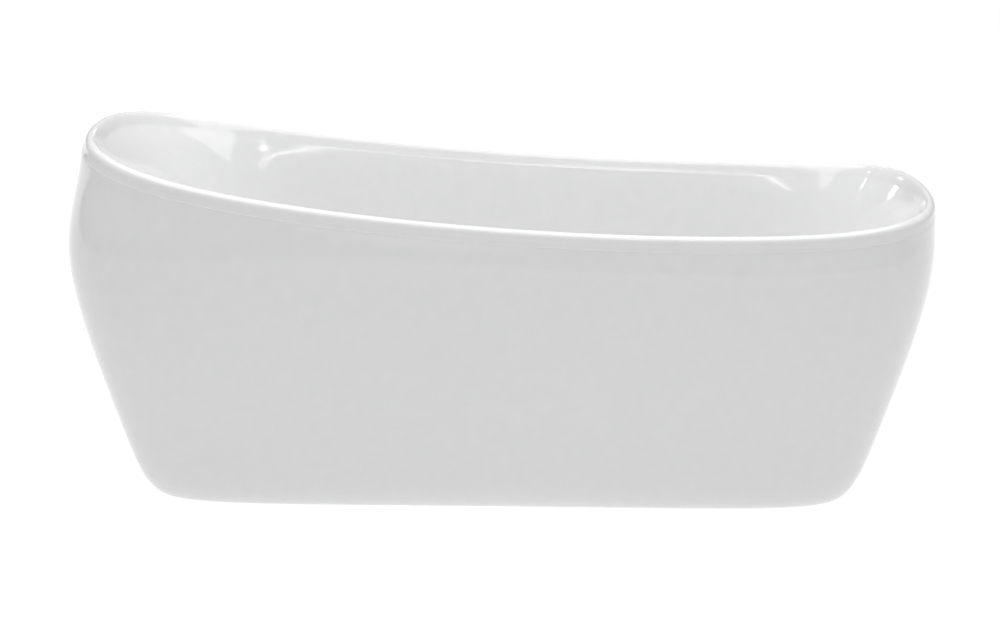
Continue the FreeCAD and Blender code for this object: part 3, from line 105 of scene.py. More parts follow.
class Finish:
    """A material and its nodes."""

    def __init__(self, name):
        self.material = bpy.data.materials.new(name)
        self.material.use_nodes = True
        self.tree = self.material.node_tree
        self.shader = self.tree.nodes["Principled BSDF"]
        self.place = self.node("ShaderNodeTexCoord", {}, {}, "Object")

    def node(self, kind, settings, inputs, output=0):
        """Any node: its settings first, then the values or wires of its inputs."""
        made = self.tree.nodes.new(kind)
        for setting, value in settings.items():
            if setting == "stops":
                self.set_stops(made.color_ramp, value)
            else:
                setattr(made, setting, value)
        for name, value in inputs.items():
            self.feed(made.inputs[name], value)
        return Wire(self, made.outputs[output])

    def feed(self, socket, value):
        if isinstance(value, Wire):
            self.tree.links.new(value.socket, socket)
        else:
            socket.default_value = value

    def set_stops(self, ramp, stops):
        while len(ramp.elements) < len(stops):
            ramp.elements.new(0.5)
        for element, (position, colour) in zip(ramp.elements, stops):
            element.position = position
            element.color = (*colour, 1)

    def set(self, **values):
        """Sets or wires the shader's sockets; Base_Color means Base Color."""
        for name, value in values.items():
            if isinstance(value, tuple):
                value = (*value, 1)
            self.feed(self.shader.inputs[name.replace("_", " ")], value)

    def stretched(self, x, y, z):
        return self.node("ShaderNodeMapping", {}, {"Vector": self.place, "Scale": (x, y, z)})

    def noise(self, scale, detail=3.0, roughness=0.5, vector=None, distortion=0.0):
        inputs = {"Vector": vector or self.place, "Scale": scale, "Detail": detail,
                  "Roughness": roughness, "Distortion": distortion}
        return self.node("ShaderNodeTexNoise", {}, inputs, "Fac")

    def patches(self, scale, vector=None):
        """Flat patches, each of its own value."""
        inputs = {"Vector": vector or self.place, "Scale": scale}
        colour = self.node("ShaderNodeTexVoronoi", {"feature": "F1"}, inputs, "Color")
        return self.node("ShaderNodeSeparateColor", {}, {"Color": colour}, "Red")

    def spread(self, value, low, high, start=0.0, end=1.0):
        """Turns low..high into start..end, and holds it there."""
        inputs = {"Value": value, "From Min": low, "From Max": high, "To Min": start, "To Max": end}
        return self.node("ShaderNodeMapRange", {}, inputs)

    def stepped(self, value, stops):
        """A colour through stops of (position, colour)."""
        return self.node("ShaderNodeValToRGB", {"stops": stops}, {"Fac": value}, "Color")

    def mixed(self, share, first, second):
        """A colour from first to second."""
        ends = [(*end, 1) if isinstance(end, tuple) else end for end in (first, second)]
        return self.node("ShaderNodeMix", {"data_type": "RGBA"}, {0: share, 6: ends[0], 7: ends[1]}, 2)

    def bumped(self, height, distance, strength):
        inputs = {"Height": height, "Distance": distance, "Strength": strength}
        return self.node("ShaderNodeBump", {}, inputs)


def acrylic():
    """Polished white sheet: a hint of waviness from the mould, faint drying marks."""
    finish = Finish("polished_white_acrylic")
    waves = finish.noise(7.0, detail=2.0)
    marks = finish.noise(38.0, detail=5.0, roughness=0.6)
    white = finish.mixed(finish.spread(marks, 0.3, 0.7), (0.715, 0.717, 0.718), (0.738, 0.739, 0.739))
    finish.set(Base_Color=white,
               Roughness=finish.spread(marks, 0.35, 0.75, 0.07, 0.12),
               Coat_Weight=finish.spread(waves, 0.3, 0.7, 0.0, 0.12),
               Coat_Roughness=0.05,
               IOR=1.49,
               Normal=finish.bumped(waves, 0.0006, 0.5))
    return finish.material


def fibreglass():
    """The rough back of a moulding: chopped strands under thick resin, with drips and dust."""
    finish = Finish("fibreglass_back")
    strands = finish.noise(55.0, detail=4.0, vector=finish.stretched(1.0, 5.0, 2.2), distortion=1.2)
    crossing = finish.noise(48.0, detail=4.0, vector=finish.stretched(4.5, 1.0, 2.6), distortion=1.4)
    thick = finish.noise(9.0, detail=3.0)
    weave = strands * 0.5 + crossing * 0.5
    pale = finish.mixed(finish.spread(weave, 0.42, 0.60), (0.50, 0.47, 0.37), (0.74, 0.72, 0.62))
    finish.set(Base_Color=finish.mixed(finish.spread(thick, 0.35, 0.7), pale, (0.63, 0.60, 0.49)),
               Roughness=finish.spread(thick, 0.3, 0.7, 0.62, 0.30),
               Normal=finish.bumped(weave + thick * 1.5, 0.0022, 0.9))
    return finish.material


def chipboard():
    """Wood flakes in resin, sealed in places by a clear coat."""
    finish = Finish("resin_sealed_chipboard")
    tone = finish.patches(210.0, vector=finish.stretched(1.0, 0.7, 1.6))
    grain = finish.noise(420.0, detail=4.0)
    resin = finish.noise(6.0, detail=3.0)
    wood = finish.stepped(tone * 0.75 + grain * 0.25,
                       [(0.1, (0.30, 0.19, 0.10)), (0.5, (0.52, 0.37, 0.21)), (0.9, (0.68, 0.53, 0.34))])
    sealed = finish.spread(resin, 0.55, 0.75, 0.0, 0.6)
    finish.set(Base_Color=finish.mixed(sealed, wood, (0.62, 0.56, 0.42)),
               Roughness=finish.spread(resin, 0.5, 0.75, 0.75, 0.35),
               Normal=finish.bumped(tone + grain, 0.0004, 0.6))
    return finish.material


def metal(name, dark, pale, scale, rough_low, rough_high, depth=0.0, cut=None):
    """A bare or plated metal with its own patches, brightness and fine marks."""
    finish = Finish(name)
    patches = finish.patches(scale)
    fine = finish.noise(scale * 6, detail=5.0, vector=cut and finish.stretched(*cut))
    worn = finish.noise(scale * 0.4, detail=3.0)
    tone = patches * 0.55 + fine * 0.25 + worn * 0.2
    finish.set(Base_Color=finish.mixed(finish.spread(tone, 0.2, 0.8), dark, pale),
               Metallic=1.0,
               Roughness=finish.spread(fine * 0.5 + patches * 0.5, 0.2, 0.8, rough_low, rough_high))
    if depth:
        finish.set(Normal=finish.bumped(fine, depth, 0.5))
    return finish.material


def plastic(name, dark, pale, roughness, grain_scale=900.0, grain_depth=0.00006):
    """Moulded plastic: a little uneven in colour, with a fine spark-eroded grain."""
    finish = Finish(name)
    grain = finish.noise(grain_scale, detail=2.0)
    clouds = finish.noise(24.0, detail=4.0)
    finish.set(Base_Color=finish.mixed(finish.spread(clouds, 0.3, 0.7), dark, pale),
               Roughness=finish.spread(clouds, 0.3, 0.7, roughness - 0.06, roughness + 0.08),
               Normal=finish.bumped(grain, grain_depth, 0.5))
    return finish.material


def bead():
    """White sealant, smoothed by hand."""
    finish = Finish("white_sealant")
    ripples = finish.noise(160.0, detail=3.0)
    white = finish.mixed(finish.spread(ripples, 0.3, 0.7), (0.715, 0.717, 0.718), (0.745, 0.746, 0.746))
    finish.set(Base_Color=white,
               Roughness=finish.spread(ripples, 0.3, 0.7, 0.12, 0.2),
               Normal=finish.bumped(ripples, 0.0002, 0.4))
    return finish.material


ACRYLIC = acrylic()
FIBREGLASS = fibreglass()
CHIPBOARD = chipboard()
SEALANT = bead()
GALVANISED = metal("galvanised_steel", (0.40, 0.42, 0.44), (0.66, 0.68, 0.70),
                   90.0, 0.34, 0.55, 0.0001)
ZINC_PLATED = metal("zinc_plated_steel", (0.56, 0.56, 0.52), (0.76, 0.76, 0.74),
                    260.0, 0.22, 0.38, 0.00003)
CHROME = metal("polished_chrome", (0.78, 0.78, 0.79), (0.84, 0.84, 0.85), 30.0, 0.05, 0.11)
BRASS = metal("turned_brass", (0.62, 0.44, 0.18), (0.80, 0.62, 0.32),
              300.0, 0.20, 0.32, 0.00003, (1, 1, 9))
SPRING_STEEL = metal("drawn_spring_steel", (0.38, 0.38, 0.39), (0.60, 0.60, 0.61),
                     500.0, 0.28, 0.42, 0.00002)
BLACK_PLASTIC = plastic("black_moulded_plastic", (0.022, 0.022, 0.024), (0.036, 0.036, 0.038), 0.50)
WHITE_PLASTIC = plastic("white_moulded_plastic", (0.70, 0.70, 0.68), (0.76, 0.76, 0.74), 0.40)
GREY_HOSE = plastic("grey_corrugated_hose", (0.40, 0.41, 0.42), (0.52, 0.53, 0.54), 0.48, 500.0, 0.0001)
RUBBER = plastic("black_rubber", (0.018, 0.018, 0.019), (0.032, 0.032, 0.033), 0.68, 700.0, 0.0001)

SLOT_FINISHES = {
    "bath_acrylic": ACRYLIC, "board": CHIPBOARD, "galvanised_steel": GALVANISED,
    "plated_hardware": ZINC_PLATED, "black_plastic": BLACK_PLASTIC, "white_plastic": WHITE_PLASTIC,
    "grey_hose": GREY_HOSE, "chrome": CHROME, "brass": BRASS, "rubber": RUBBER,
    "spring_steel": SPRING_STEEL,
}


def finish_cad_nodes():
    """Every part of the frame gets the finish of its slot."""
    for subpart in frame["record"]["subparts"]:
        node = frame["nodes"][subpart["node"]]
        finish = SLOT_FINISHES[subpart["material_slot"]]
        node.data.materials.clear()
        node.data.materials.append(finish)


finish_cad_nodes()

# ---------------------------------------------------------------------------------------
# Helpers: modelling


def only(piece):
    bpy.ops.object.select_all(action="DESELECT")
    piece.select_set(True)
    bpy.context.view_layer.objects.active = piece


def added(primitive, **settings):
    """Adds a primitive with nothing else selected."""
    bpy.ops.object.select_all(action="DESELECT")
    primitive(**settings)
    return bpy.context.active_object


def apply_place(piece):
    only(piece)
    bpy.ops.object.transform_apply(location=True, rotation=True, scale=True)


def apply_modifier(piece, kind, **settings):
    only(piece)
    modifier = piece.modifiers.new(kind.lower(), kind)
    for setting, value in settings.items():
        setattr(modifier, setting, value)
    bpy.ops.object.modifier_apply(modifier=modifier.name)


def worked(piece, operation, tool):
    """Joins, cuts or keeps what the piece shares with a tool, then removes the tool."""
    apply_place(tool)
    apply_modifier(piece, "BOOLEAN", operation=operation, solver="EXACT", object=tool)
    bpy.data.objects.remove(tool)


def face_outwards(piece):
    only(piece)
    bpy.ops.object.mode_set(mode="EDIT")
    bpy.ops.mesh.select_all(action="SELECT")
    bpy.ops.mesh.normals_make_consistent(inside=False)
    bpy.ops.object.mode_set(mode="OBJECT")


def smooth(piece, degrees):
    only(piece)
    bpy.ops.object.shade_smooth_by_angle(angle=math.radians(degrees))


def finished(piece, name, body, finishes, stands_for=()):
    """Names a piece, gives it its finishes, and lets it move with its body."""
    piece.name = name
    piece.data.name = name
    for finish in finishes:
        piece.data.materials.append(finish)
    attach(piece, body)
    if stands_for:
        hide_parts(*stands_for)
    return piece


# ---------------------------------------------------------------------------------------
# Basin and skirt: the surface is a net of rings, smoothed by subdivision

RING_POINTS = 48
SMOOTHING_LEVELS = 2
BASIN_WALL = 7.0
SKIRT_WALL = 5.5
DRAIN_X = 430.0
FLOOR_HEIGHT = 118.0
FLOOR_FALL = 0.008
RECESS_HEIGHT = 112.0
COVE_WIDTH = 50.0
WIDEST_CIRCLE = 75.0
DRAIN_HOLE = 26.0
RECESS_RADIUS = 39.0
OVERFLOW_HOLE_RADIUS = 0.025
OVERFLOW_DRILL_LENGTH = 0.08
OVERFLOW_LEAN = math.radians(23)
SHOULDER_WIDTH = 17.0
SHOULDER_DROP = 26.0
ROLL_RADIUS = 12.5
LIP_DEPTH = 27.0
SEAM_GAP = 1.2
TONGUE_STEP = 9.4
BULGE_HEIGHT = 500.0
LOW_RIM_X = 470.0
LOW_RIM_HEIGHT = 574.0
HEAD_RISE = 140.0
FOOT_RISE = 25.0


def net_loss(harmonic):
    """How much of a wave round the ring the smooth surface keeps of its net's."""
    return (2 + math.cos(harmonic * 2 * math.pi / RING_POINTS)) / 3


class Ring:
    """An outline seen from above: end places, half width, squareness of each end."""

    def __init__(self, head, foot, half_width, head_fullness, foot_fullness):
        self.values = (head, foot, half_width, head_fullness, foot_fullness)

    def mixed(self, other, share):
        return Ring(*(a + (b - a) * share for a, b in zip(self.values, other.values)))

    def inset(self, distance):
        head, foot, half_width, head_fullness, foot_fullness = self.values
        return Ring(head + distance, foot - distance, half_width - distance,
                    head_fullness, foot_fullness)

    def point(self, angle):
        head, foot, half_width, head_fullness, foot_fullness = self.values
        fullness = (foot_fullness + head_fullness
                    + (foot_fullness - head_fullness) * math.cos(angle)) / 2
        oval = (1 + fullness / 4) / net_loss(1)
        corner = fullness / 4 / net_loss(3)
        along = oval * math.cos(angle) - corner * math.cos(3 * angle)
        across = oval * math.sin(angle) + corner * math.sin(3 * angle)
        return (head + foot) / 2 + (foot - head) / 2 * along, half_width * across


CREST = Ring(-800, 835, 379, 0.30, 0.35)
SEAM = Ring(-819, 848.5, 393.5, 0.30, 0.35)
BULGE = Ring(-850, 850, 400, 0.365, 0.365)
BASE = Ring(-663, 663, 251, 0.59, 0.59)
FLOOR = Ring(-440, 600, 215, 0.35, 0.35)
FLAT = FLOOR.inset(COVE_WIDTH)
EDGE = CREST.inset(SHOULDER_WIDTH)


def crest_height(angle):
    """The rim is lowest near the foot end and sweeps up to the head."""
    x = CREST.point(angle)[0]
    if x > LOW_RIM_X:
        part = (x - LOW_RIM_X) / (CREST.values[1] - LOW_RIM_X)
        return LOW_RIM_HEIGHT + FOOT_RISE * part ** 3
    part = (LOW_RIM_X - x) / (LOW_RIM_X - CREST.values[0])
    return LOW_RIM_HEIGHT + HEAD_RISE * (0.83 * part ** 2 + 0.17 * part ** 10)


ANGLES = [2 * math.pi * index / RING_POINTS for index in range(RING_POINTS)]
CREST_HEIGHTS = [crest_height(angle) for angle in ANGLES]


def station(ring, level, follow=0.0, fall=0.0):
    """A ring of net points; follow = 1 measures the level from the crest of the rim."""
    points = []
    for angle, crest in zip(ANGLES, CREST_HEIGHTS):
        x, y = ring.point(angle)
        points.append(Vector((x, y, level + follow * crest + fall * FLOOR_FALL * (DRAIN_X - x))))
    return points


def drain_circle(radius, level, fall=0.0):
    """A round station: the wider, the straighter its net lines run to the flat floor's edge."""
    straightness = (radius - DRAIN_HOLE) / (WIDEST_CIRCLE - DRAIN_HOLE)
    points = []
    for even in ANGLES:
        x, y = FLAT.point(even)
        straight = math.atan2(y, x - DRAIN_X) % (2 * math.pi)
        angle = even + (straight - even) * straightness
        reach = radius / net_loss(1)
        x = DRAIN_X + reach * math.cos(angle)
        points.append(Vector((x, reach * math.sin(angle), level + fall * FLOOR_FALL * (DRAIN_X - x))))
    return points


def between(start, end, share):
    return [a.lerp(b, share) for a, b in zip(start, end)]


def backed(stations, thickness):
    """The other face: every station moved square to the net by the thickness."""
    back = []
    last = len(stations) - 1
    for number, points in enumerate(stations):
        moved = []
        for index, point in enumerate(points):
            around = points[(index + 1) % RING_POINTS] - points[index - 1]
            steps = []
            if number > 0:
                steps.append(point - stations[number - 1][index])
            if number < last:
                steps.append(stations[number + 1][index] - point)
            normals = [around.cross(step).normalized() for step in steps]
            middle = sum(normals, Vector()).normalized()
            moved.append(point + middle * (thickness / middle.dot(normals[0])))
        back.append(moved)
    return back


def trimmed_level(before, inner, outer):
    """A back edge cut off level with the front one, point by point."""
    return [a.lerp(b, (c.z - a.z) / (b.z - a.z)) for a, b, c in zip(before, inner, outer)]


def lip_ring(share):
    """The lip's outer face between the roll and its lower edge."""
    return CREST.inset(-ROLL_RADIUS).mixed(SEAM, share)


def basin_stations():
    """Front face from the drain outwards: (station, kept on the back)."""
    widest = drain_circle(WIDEST_CIRCLE, FLOOR_HEIGHT, fall=1)
    made = [
        (drain_circle(DRAIN_HOLE, RECESS_HEIGHT), True),
        (drain_circle(DRAIN_HOLE + 4, RECESS_HEIGHT), True),
        (drain_circle(RECESS_RADIUS - 2.5, RECESS_HEIGHT), True),
        (drain_circle(RECESS_RADIUS + 0.5, RECESS_HEIGHT), False),
        (drain_circle(RECESS_RADIUS + 3, FLOOR_HEIGHT), True),
        (drain_circle(RECESS_RADIUS + 8, FLOOR_HEIGHT, fall=1), False),
        (drain_circle(RECESS_RADIUS + 16, FLOOR_HEIGHT, fall=1), True),
        (widest, True),
    ]
    flat = station(FLAT, FLOOR_HEIGHT, fall=1)
    for share in (0.30, 0.56, 0.80, 1.0):
        made.append((between(widest, flat, share), True))
    for inset, rise in ((0.56, 0.01), (0.20, 0.09)):
        cove = station(FLOOR.inset(inset * COVE_WIDTH), FLOOR_HEIGHT + rise * COVE_WIDTH, fall=1)
        made.append((cove, True))
    for outward, upward in ((0.01, 0.045), (0.07, 0.095), (0.15, 0.165), (0.27, 0.28), (0.42, 0.435),
                            (0.58, 0.60), (0.74, 0.77), (0.90, 0.92), (0.975, 0.98)):
        level = FLOOR_HEIGHT * (1 - upward) - SHOULDER_DROP * upward
        wall = station(FLOOR.mixed(EDGE, outward), level, follow=upward, fall=1 - upward)
        made.append((wall, upward < 0.95))
    made.append((station(EDGE, -SHOULDER_DROP, follow=1), True))
    for inward, drop, kept in ((0.93, 0.905, False), (0.74, 0.64, True), (0.47, 0.29, True),
                               (0.20, 0.045, True)):
        shoulder = station(CREST.inset(SHOULDER_WIDTH * inward), -SHOULDER_DROP * drop, follow=1)
        made.append((shoulder, kept))
    pole_radius = ROLL_RADIUS * 1.047
    for degrees in (90, 60, 30, 0):
        outset = pole_radius * math.cos(math.radians(degrees))
        level = pole_radius * math.sin(math.radians(degrees)) - ROLL_RADIUS
        made.append((station(CREST.inset(-outset), level, follow=1), True))
    for share, kept in ((0.35, True), (0.75, True), (0.95, False), (1.0, True)):
        level = -ROLL_RADIUS * (1 - share) - LIP_DEPTH * share
        made.append((station(lip_ring(share), level, follow=1), kept))
    return made


def skirt_stations():
    """Front face from the tongue behind the lip down to the turned-in flange."""
    shelf = -LIP_DEPTH - SEAM_GAP
    tongue_top = -18
    upper_share = (tongue_top + ROLL_RADIUS) / (-LIP_DEPTH + ROLL_RADIUS)
    tongue = lip_ring(upper_share).inset(TONGUE_STEP)
    made = [
        (station(tongue, tongue_top, follow=1), True),
        (station(tongue, tongue_top - 1, follow=1), True),
        (station(lip_ring(0.7).inset(TONGUE_STEP), tongue_top - 4.5, follow=1), True),
        (station(SEAM.inset(TONGUE_STEP), shelf + 1.2, follow=1), False),
        (station(SEAM.inset(TONGUE_STEP), shelf, follow=1), True),
        (station(SEAM.inset(TONGUE_STEP - 1.2), shelf, follow=1), False),
        (station(SEAM.inset(1), shelf, follow=1), False),
        (station(SEAM, shelf, follow=1), True),
        (station(SEAM.mixed(BULGE, 0.02), shelf - 1, follow=1), False),
    ]
    for inward, follow in ((0.90, 0.90), (0.72, 0.72), (0.36, 0.45), (0.10, 0.20), (0.0, 0.0)):
        level = BULGE_HEIGHT * (1 - follow) + shelf * follow
        made.append((station(BULGE.mixed(SEAM, inward), level, follow=follow), True))
    for inward, upward in ((0.015, 0.90), (0.07, 0.79), (0.18, 0.636), (0.34, 0.46), (0.49, 0.30),
                           (0.60, 0.184), (0.70, 0.096), (0.80, 0.042), (0.89, 0.016)):
        made.append((station(BULGE.mixed(BASE, inward), BULGE_HEIGHT * upward), True))
    made.append((station(BASE, 3.6), True))
    for inset in (10, 22, 36, 45):
        made.append((station(BASE.inset(inset), 3), True))
    return made


EDGE_STEPS = (0.06, 0.22, 0.78, 0.94)


def smoothed_net(name, rows, finishes, finish_of_rows):
    """A closed surface: rows of net points, the last joined to the first, then subdivided."""
    corners = [point * MM for row in rows for point in row]
    faces = []
    for row in range(len(rows)):
        following = (row + 1) % len(rows)
        for index in range(RING_POINTS):
            beside = (index + 1) % RING_POINTS
            faces.append((row * RING_POINTS + index, following * RING_POINTS + index,
                          following * RING_POINTS + beside, row * RING_POINTS + beside))
    mesh = bpy.data.meshes.new(name)
    mesh.from_pydata(corners, [], faces)
    piece = bpy.data.objects.new(name, mesh)
    scene.collection.objects.link(piece)
    for finish in finishes:
        mesh.materials.append(finish)
    finish_of_faces = [number for number in finish_of_rows for index in range(RING_POINTS)]
    mesh.polygons.foreach_set("material_index", finish_of_faces)
    face_outwards(piece)
    apply_modifier(piece, "SUBSURF", levels=SMOOTHING_LEVELS, render_levels=SMOOTHING_LEVELS)
    bpy.ops.object.shade_smooth()
    return piece


def moulding(name, stations, thickness, level_edge=False):
    """A closed shell from its front stations; its back gets the second finish."""
    front = [points for points, kept in stations]
    back = backed([points for points, kept in stations if kept], thickness)
    if level_edge:
        back[-1] = trimmed_level(back[-2], back[-1], front[-1])
    rows = list(front)
    rows += [between(front[-1], back[-1], share) for share in EDGE_STEPS]
    first_back_row = len(rows) - 1
    rows += back[::-1]
    last_back_row = len(rows)
    rows += [between(back[0], front[0], share) for share in EDGE_STEPS]
    finish_of_rows = [int(first_back_row <= row < last_back_row) for row in range(len(rows))]
    return smoothed_net(name, rows, (ACRYLIC, FIBREGLASS), finish_of_rows)


def make_basin():
    basin = moulding("bath_basin", basin_stations(), BASIN_WALL, level_edge=True)
    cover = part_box("overflow_cover")
    middle = (cover[0] + cover[1]) / 2
    body_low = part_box("overflow_body")[0]
    drill = added(bpy.ops.mesh.primitive_cylinder_add, vertices=96, radius=OVERFLOW_HOLE_RADIUS,
                  depth=OVERFLOW_DRILL_LENGTH, location=(body_low.x, 0, middle.z),
                  rotation=(0, math.radians(90) + OVERFLOW_LEAN, 0))
    worked(basin, "DIFFERENCE", drill)
    finished(basin, "bath_basin", "bath", (), ["basin_shell"])


def make_skirt():
    skirt = moulding("bath_skirt", skirt_stations(), SKIRT_WALL)
    finished(skirt, "bath_skirt", "bath", (), ["skirt_shell"])


def make_sealant():
    """The bead smoothed off over the joint under the lip."""
    outer = -0.75
    inner = 4.0
    top = -LIP_DEPTH + 1.1
    bottom = -LIP_DEPTH - SEAM_GAP - 1.1
    section = ((inner, top), (0.6, top), (outer, top - 0.45), (outer, bottom + 0.45), (0.6, bottom),
               (inner, bottom))
    rows = [station(SEAM.inset(depth + 0.35), level, follow=1) for depth, level in section]
    piece = smoothed_net("rim_sealant", rows, (SEALANT,), [0] * len(rows))
    finished(piece, "rim_sealant", "bath", ())


make_basin()
make_skirt()
make_sealant()

# ---------------------------------------------------------------------------------------
# Details under the bath: hose, threads and nuts

HOSE_STRAIGHT = 0.110
HOSE_CORNER_X = 0.655
HOSE_RADIUS = 0.016
HOSE_ROOT = 0.0149
HOSE_SKIN = 0.0009
HOSE_PITCH = 0.0042
UPPER_BEND = 0.150
LOWER_BEND = 0.110
BEND_STEPS = 24
STUD_RADIUS = 0.006
THREAD_ROOT = 0.0053
THREAD_PITCH = 0.00175
STUD_END = 0.0012
TIP_RADIUS = 0.0051
TIP_OVERLAP = 0.00005
NUT_CHAMFER = 0.0011
ACROSS_FLATS = 0.018
MAIN_NUT_HEIGHT = 0.0108
JAM_NUT_HEIGHT = 0.006
NUT_BORE = 0.00608
FEET = (1, 2, 3, 4, 5)
HOSE_RIB = ((0.2, 0), (0.15, 0.8), (0.1, 1), (0.2, 1), (0.1, 0.8), (0.15, 0), (0.1, 0))
THREAD_RIB = ((0.06, 0), (0.36, 1), (0.16, 1), (0.36, 0), (0.06, 0))


def ribbed_tube(root, crest, pitch, count, vertices, steps):
    """Ribs one above the other, open at both ends.

    Each step rises by a share of the pitch, to a share of the way from root to crest.
    """
    tube = added(bpy.ops.mesh.primitive_circle_add, vertices=vertices, radius=root, fill_type="NOTHING")
    bpy.ops.object.mode_set(mode="EDIT")
    bpy.ops.mesh.select_all(action="SELECT")
    radius = root
    for rise, share in steps:
        bpy.ops.mesh.extrude_region_move(TRANSFORM_OT_translate={"value": (0, 0, rise * pitch)})
        wanted = root + (crest - root) * share
        bpy.ops.transform.resize(value=(wanted / radius, wanted / radius, 1))
        radius = wanted
    bpy.ops.object.mode_set(mode="OBJECT")
    apply_modifier(tube, "ARRAY", count=count, use_relative_offset=False, use_constant_offset=True,
                   constant_offset_displace=(0, 0, pitch), use_merge_vertices=True,
                   merge_threshold=0.00002)
    return tube


def hose_path():
    """Straight runs joined by arcs, from the overflow down to the waste."""
    low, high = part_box("overflow_hose")
    top_x = high.x - HOSE_RADIUS
    bottom_z = low.z + HOSE_RADIUS
    corners = [Vector((top_x, 0, high.z)), Vector((top_x, 0, high.z - HOSE_STRAIGHT)),
               Vector((HOSE_CORNER_X, 0, bottom_z)), Vector((low.x, 0, bottom_z))]
    path = [corners[0]]
    for number, radius in ((1, UPPER_BEND), (2, LOWER_BEND)):
        corner = corners[number]
        arriving = (corner - corners[number - 1]).normalized()
        leaving = (corners[number + 1] - corner).normalized()
        turn = arriving.angle(leaving)
        arc_start = corner - arriving * radius * math.tan(turn / 2)
        towards_centre = (leaving - arriving * arriving.dot(leaving)).normalized()
        for step in range(BEND_STEPS + 1):
            swung = turn * step / BEND_STEPS
            path.append(arc_start + arriving * radius * math.sin(swung)
                        + towards_centre * radius * (1 - math.cos(swung)))
    path.append(corners[3])
    return path


def make_hose():
    """A corrugated tube bent along its path."""
    path = hose_path()
    length = sum((b - a).length for a, b in zip(path, path[1:]))
    count = round(length / HOSE_PITCH)
    hose = ribbed_tube(HOSE_ROOT, HOSE_RADIUS, length / count, count, 40, HOSE_RIB)
    curve = bpy.data.curves.new("hose_path", "CURVE")
    curve.dimensions = "3D"
    spline = curve.splines.new("POLY")
    spline.points.add(len(path) - 1)
    for place, point in zip(path, spline.points):
        point.co = (*place, 1)
    guide = bpy.data.objects.new("hose_path", curve)
    scene.collection.objects.link(guide)
    apply_modifier(hose, "CURVE", object=guide, deform_axis="POS_Z")
    bpy.data.objects.remove(guide)
    apply_modifier(hose, "SOLIDIFY", thickness=HOSE_SKIN, offset=-1)
    face_outwards(hose)
    smooth(hose, 50)
    finished(hose, "corrugated_hose", "bath", (GREY_HOSE,), ["overflow_hose"])


def make_stud(number):
    """A threaded rod with its ends turned down."""
    low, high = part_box(f"foot_{number}_stud")
    middle = (low + high) / 2
    threaded = high.z - low.z - 2 * STUD_END
    count = round(threaded / THREAD_PITCH)
    stud = ribbed_tube(THREAD_ROOT, STUD_RADIUS, threaded / count, count, 32, THREAD_RIB)
    bpy.ops.object.mode_set(mode="EDIT")
    bpy.ops.mesh.select_mode(type="EDGE")
    bpy.ops.mesh.select_all(action="DESELECT")
    bpy.ops.mesh.select_non_manifold()
    bpy.ops.mesh.fill_holes(sides=0)
    bpy.ops.object.mode_set(mode="OBJECT")
    face_outwards(stud)
    stud.location = (middle.x, middle.y, low.z + STUD_END)
    apply_place(stud)
    inset = STUD_END / 2 + TIP_OVERLAP
    for end in (low.z + inset, high.z - inset):
        tip = added(bpy.ops.mesh.primitive_cylinder_add, vertices=32, radius=TIP_RADIUS,
                    depth=STUD_END, location=(middle.x, middle.y, end))
        worked(stud, "UNION", tip)
    smooth(stud, 30)
    finished(stud, f"foot_{number}_threaded_stud", f"foot_{number}_leg", (ZINC_PLATED,),
             [f"foot_{number}_stud"])


def hexagon_nut(x, y, bottom, height):
    """A six-sided nut with its corners turned off and its bore drilled."""
    corner_radius = ACROSS_FLATS / 2 / math.cos(math.radians(30))
    centre = (x, y, bottom + height / 2)
    nut = added(bpy.ops.mesh.primitive_cylinder_add, vertices=6, radius=corner_radius, depth=height,
                location=centre, rotation=(0, 0, math.radians(30)))
    apply_place(nut)
    turning = added(bpy.ops.mesh.primitive_cylinder_add, vertices=64, radius=corner_radius,
                    depth=height, location=centre)
    apply_place(turning)
    apply_modifier(turning, "BEVEL", width=NUT_CHAMFER, segments=1, limit_method="ANGLE")
    worked(nut, "INTERSECT", turning)
    drill = added(bpy.ops.mesh.primitive_cylinder_add, vertices=48, radius=NUT_BORE,
                  depth=height * 2, location=centre)
    worked(nut, "DIFFERENCE", drill)
    return nut


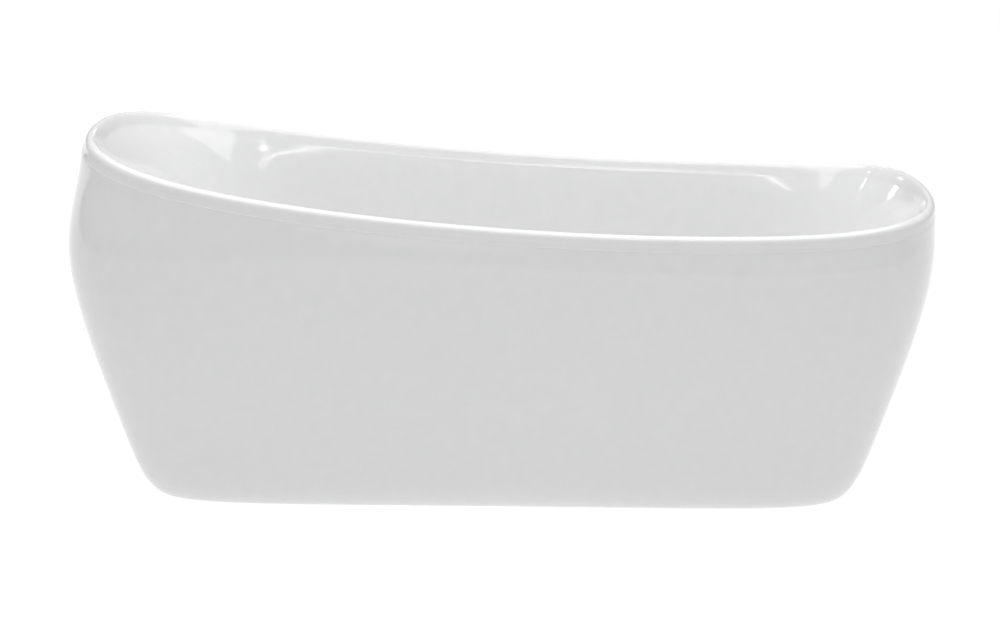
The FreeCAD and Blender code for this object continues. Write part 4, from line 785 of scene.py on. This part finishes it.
def make_nuts(number):
    low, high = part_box(f"foot_{number}_nuts")
    x, y = ((low + high) / 2).xy
    lower = hexagon_nut(x, y, low.z, MAIN_NUT_HEIGHT)
    upper = hexagon_nut(x, y, high.z - JAM_NUT_HEIGHT, JAM_NUT_HEIGHT)
    only(lower)
    upper.select_set(True)
    bpy.ops.object.join()
    smooth(lower, 30)
    finished(lower, f"foot_{number}_hexagon_nuts", f"foot_{number}_nut_pair", (ZINC_PLATED,),
             [f"foot_{number}_nuts"])


make_hose()
for foot in FEET:
    make_stud(foot)
    make_nuts(foot)

# ---------------------------------------------------------------------------------------
# Floor and light


def make_floor():
    floor = added(bpy.ops.mesh.primitive_plane_add, size=60)
    finish = Finish("pale_studio_floor")
    clouds = finish.noise(0.8, detail=3.0)
    tone = finish.mixed(finish.spread(clouds, 0.3, 0.7), (0.17, 0.17, 0.17), (0.19, 0.19, 0.19))
    glow = finish.mixed(finish.spread(clouds, 0.3, 0.7), (0.995, 0.995, 0.995), (1.0, 1.0, 1.0))
    finish.set(Base_Color=tone, Roughness=0.9, Emission_Color=glow, Emission_Strength=0.93)
    floor.data.materials.append(finish.material)
    floor.name = "studio_floor"


def soft_light(name, place, target, width, depth, watts):
    data = bpy.data.lights.new(name, "AREA")
    data.shape = "RECTANGLE"
    data.size = width
    data.size_y = depth
    data.energy = watts
    light = bpy.data.objects.new(name, data)
    scene.collection.objects.link(light)
    light.location = place
    light.rotation_euler = (Vector(target) - Vector(place)).to_track_quat("-Z", "Y").to_euler()


def make_light():
    world = bpy.data.worlds.new("studio")
    world.use_nodes = True
    background = world.node_tree.nodes["Background"]
    background.inputs["Color"].default_value = (1, 1, 1, 1)
    background.inputs["Strength"].default_value = 0.35
    scene.world = world
    scene.view_settings.view_transform = "Standard"
    soft_light("overhead_panel", (0, 0, 3.6), (0, 0, 0.5), 5.0, 4.0, 168)
    soft_light("thin_strip", (0.1, -2.0, 2.45), (0, 0.35, 0.56), 1.6, 0.03, 2.2)
    soft_light("arc_spot", (0.55, -1.73, 2.52), (-0.51, 0.32, 0.6), 0.08, 0.08, 0.6)
    soft_light("corner_spot", (-1.65, 1.24, 2.04), (0.77, 0.24, 0.58), 0.09, 0.06, 0.5)
    soft_light("foot_spot", (-0.55, 2.70, 1.10), (0.80, 0.10, 0.56), 0.12, 0.09, 0.6)


make_floor()
make_light()
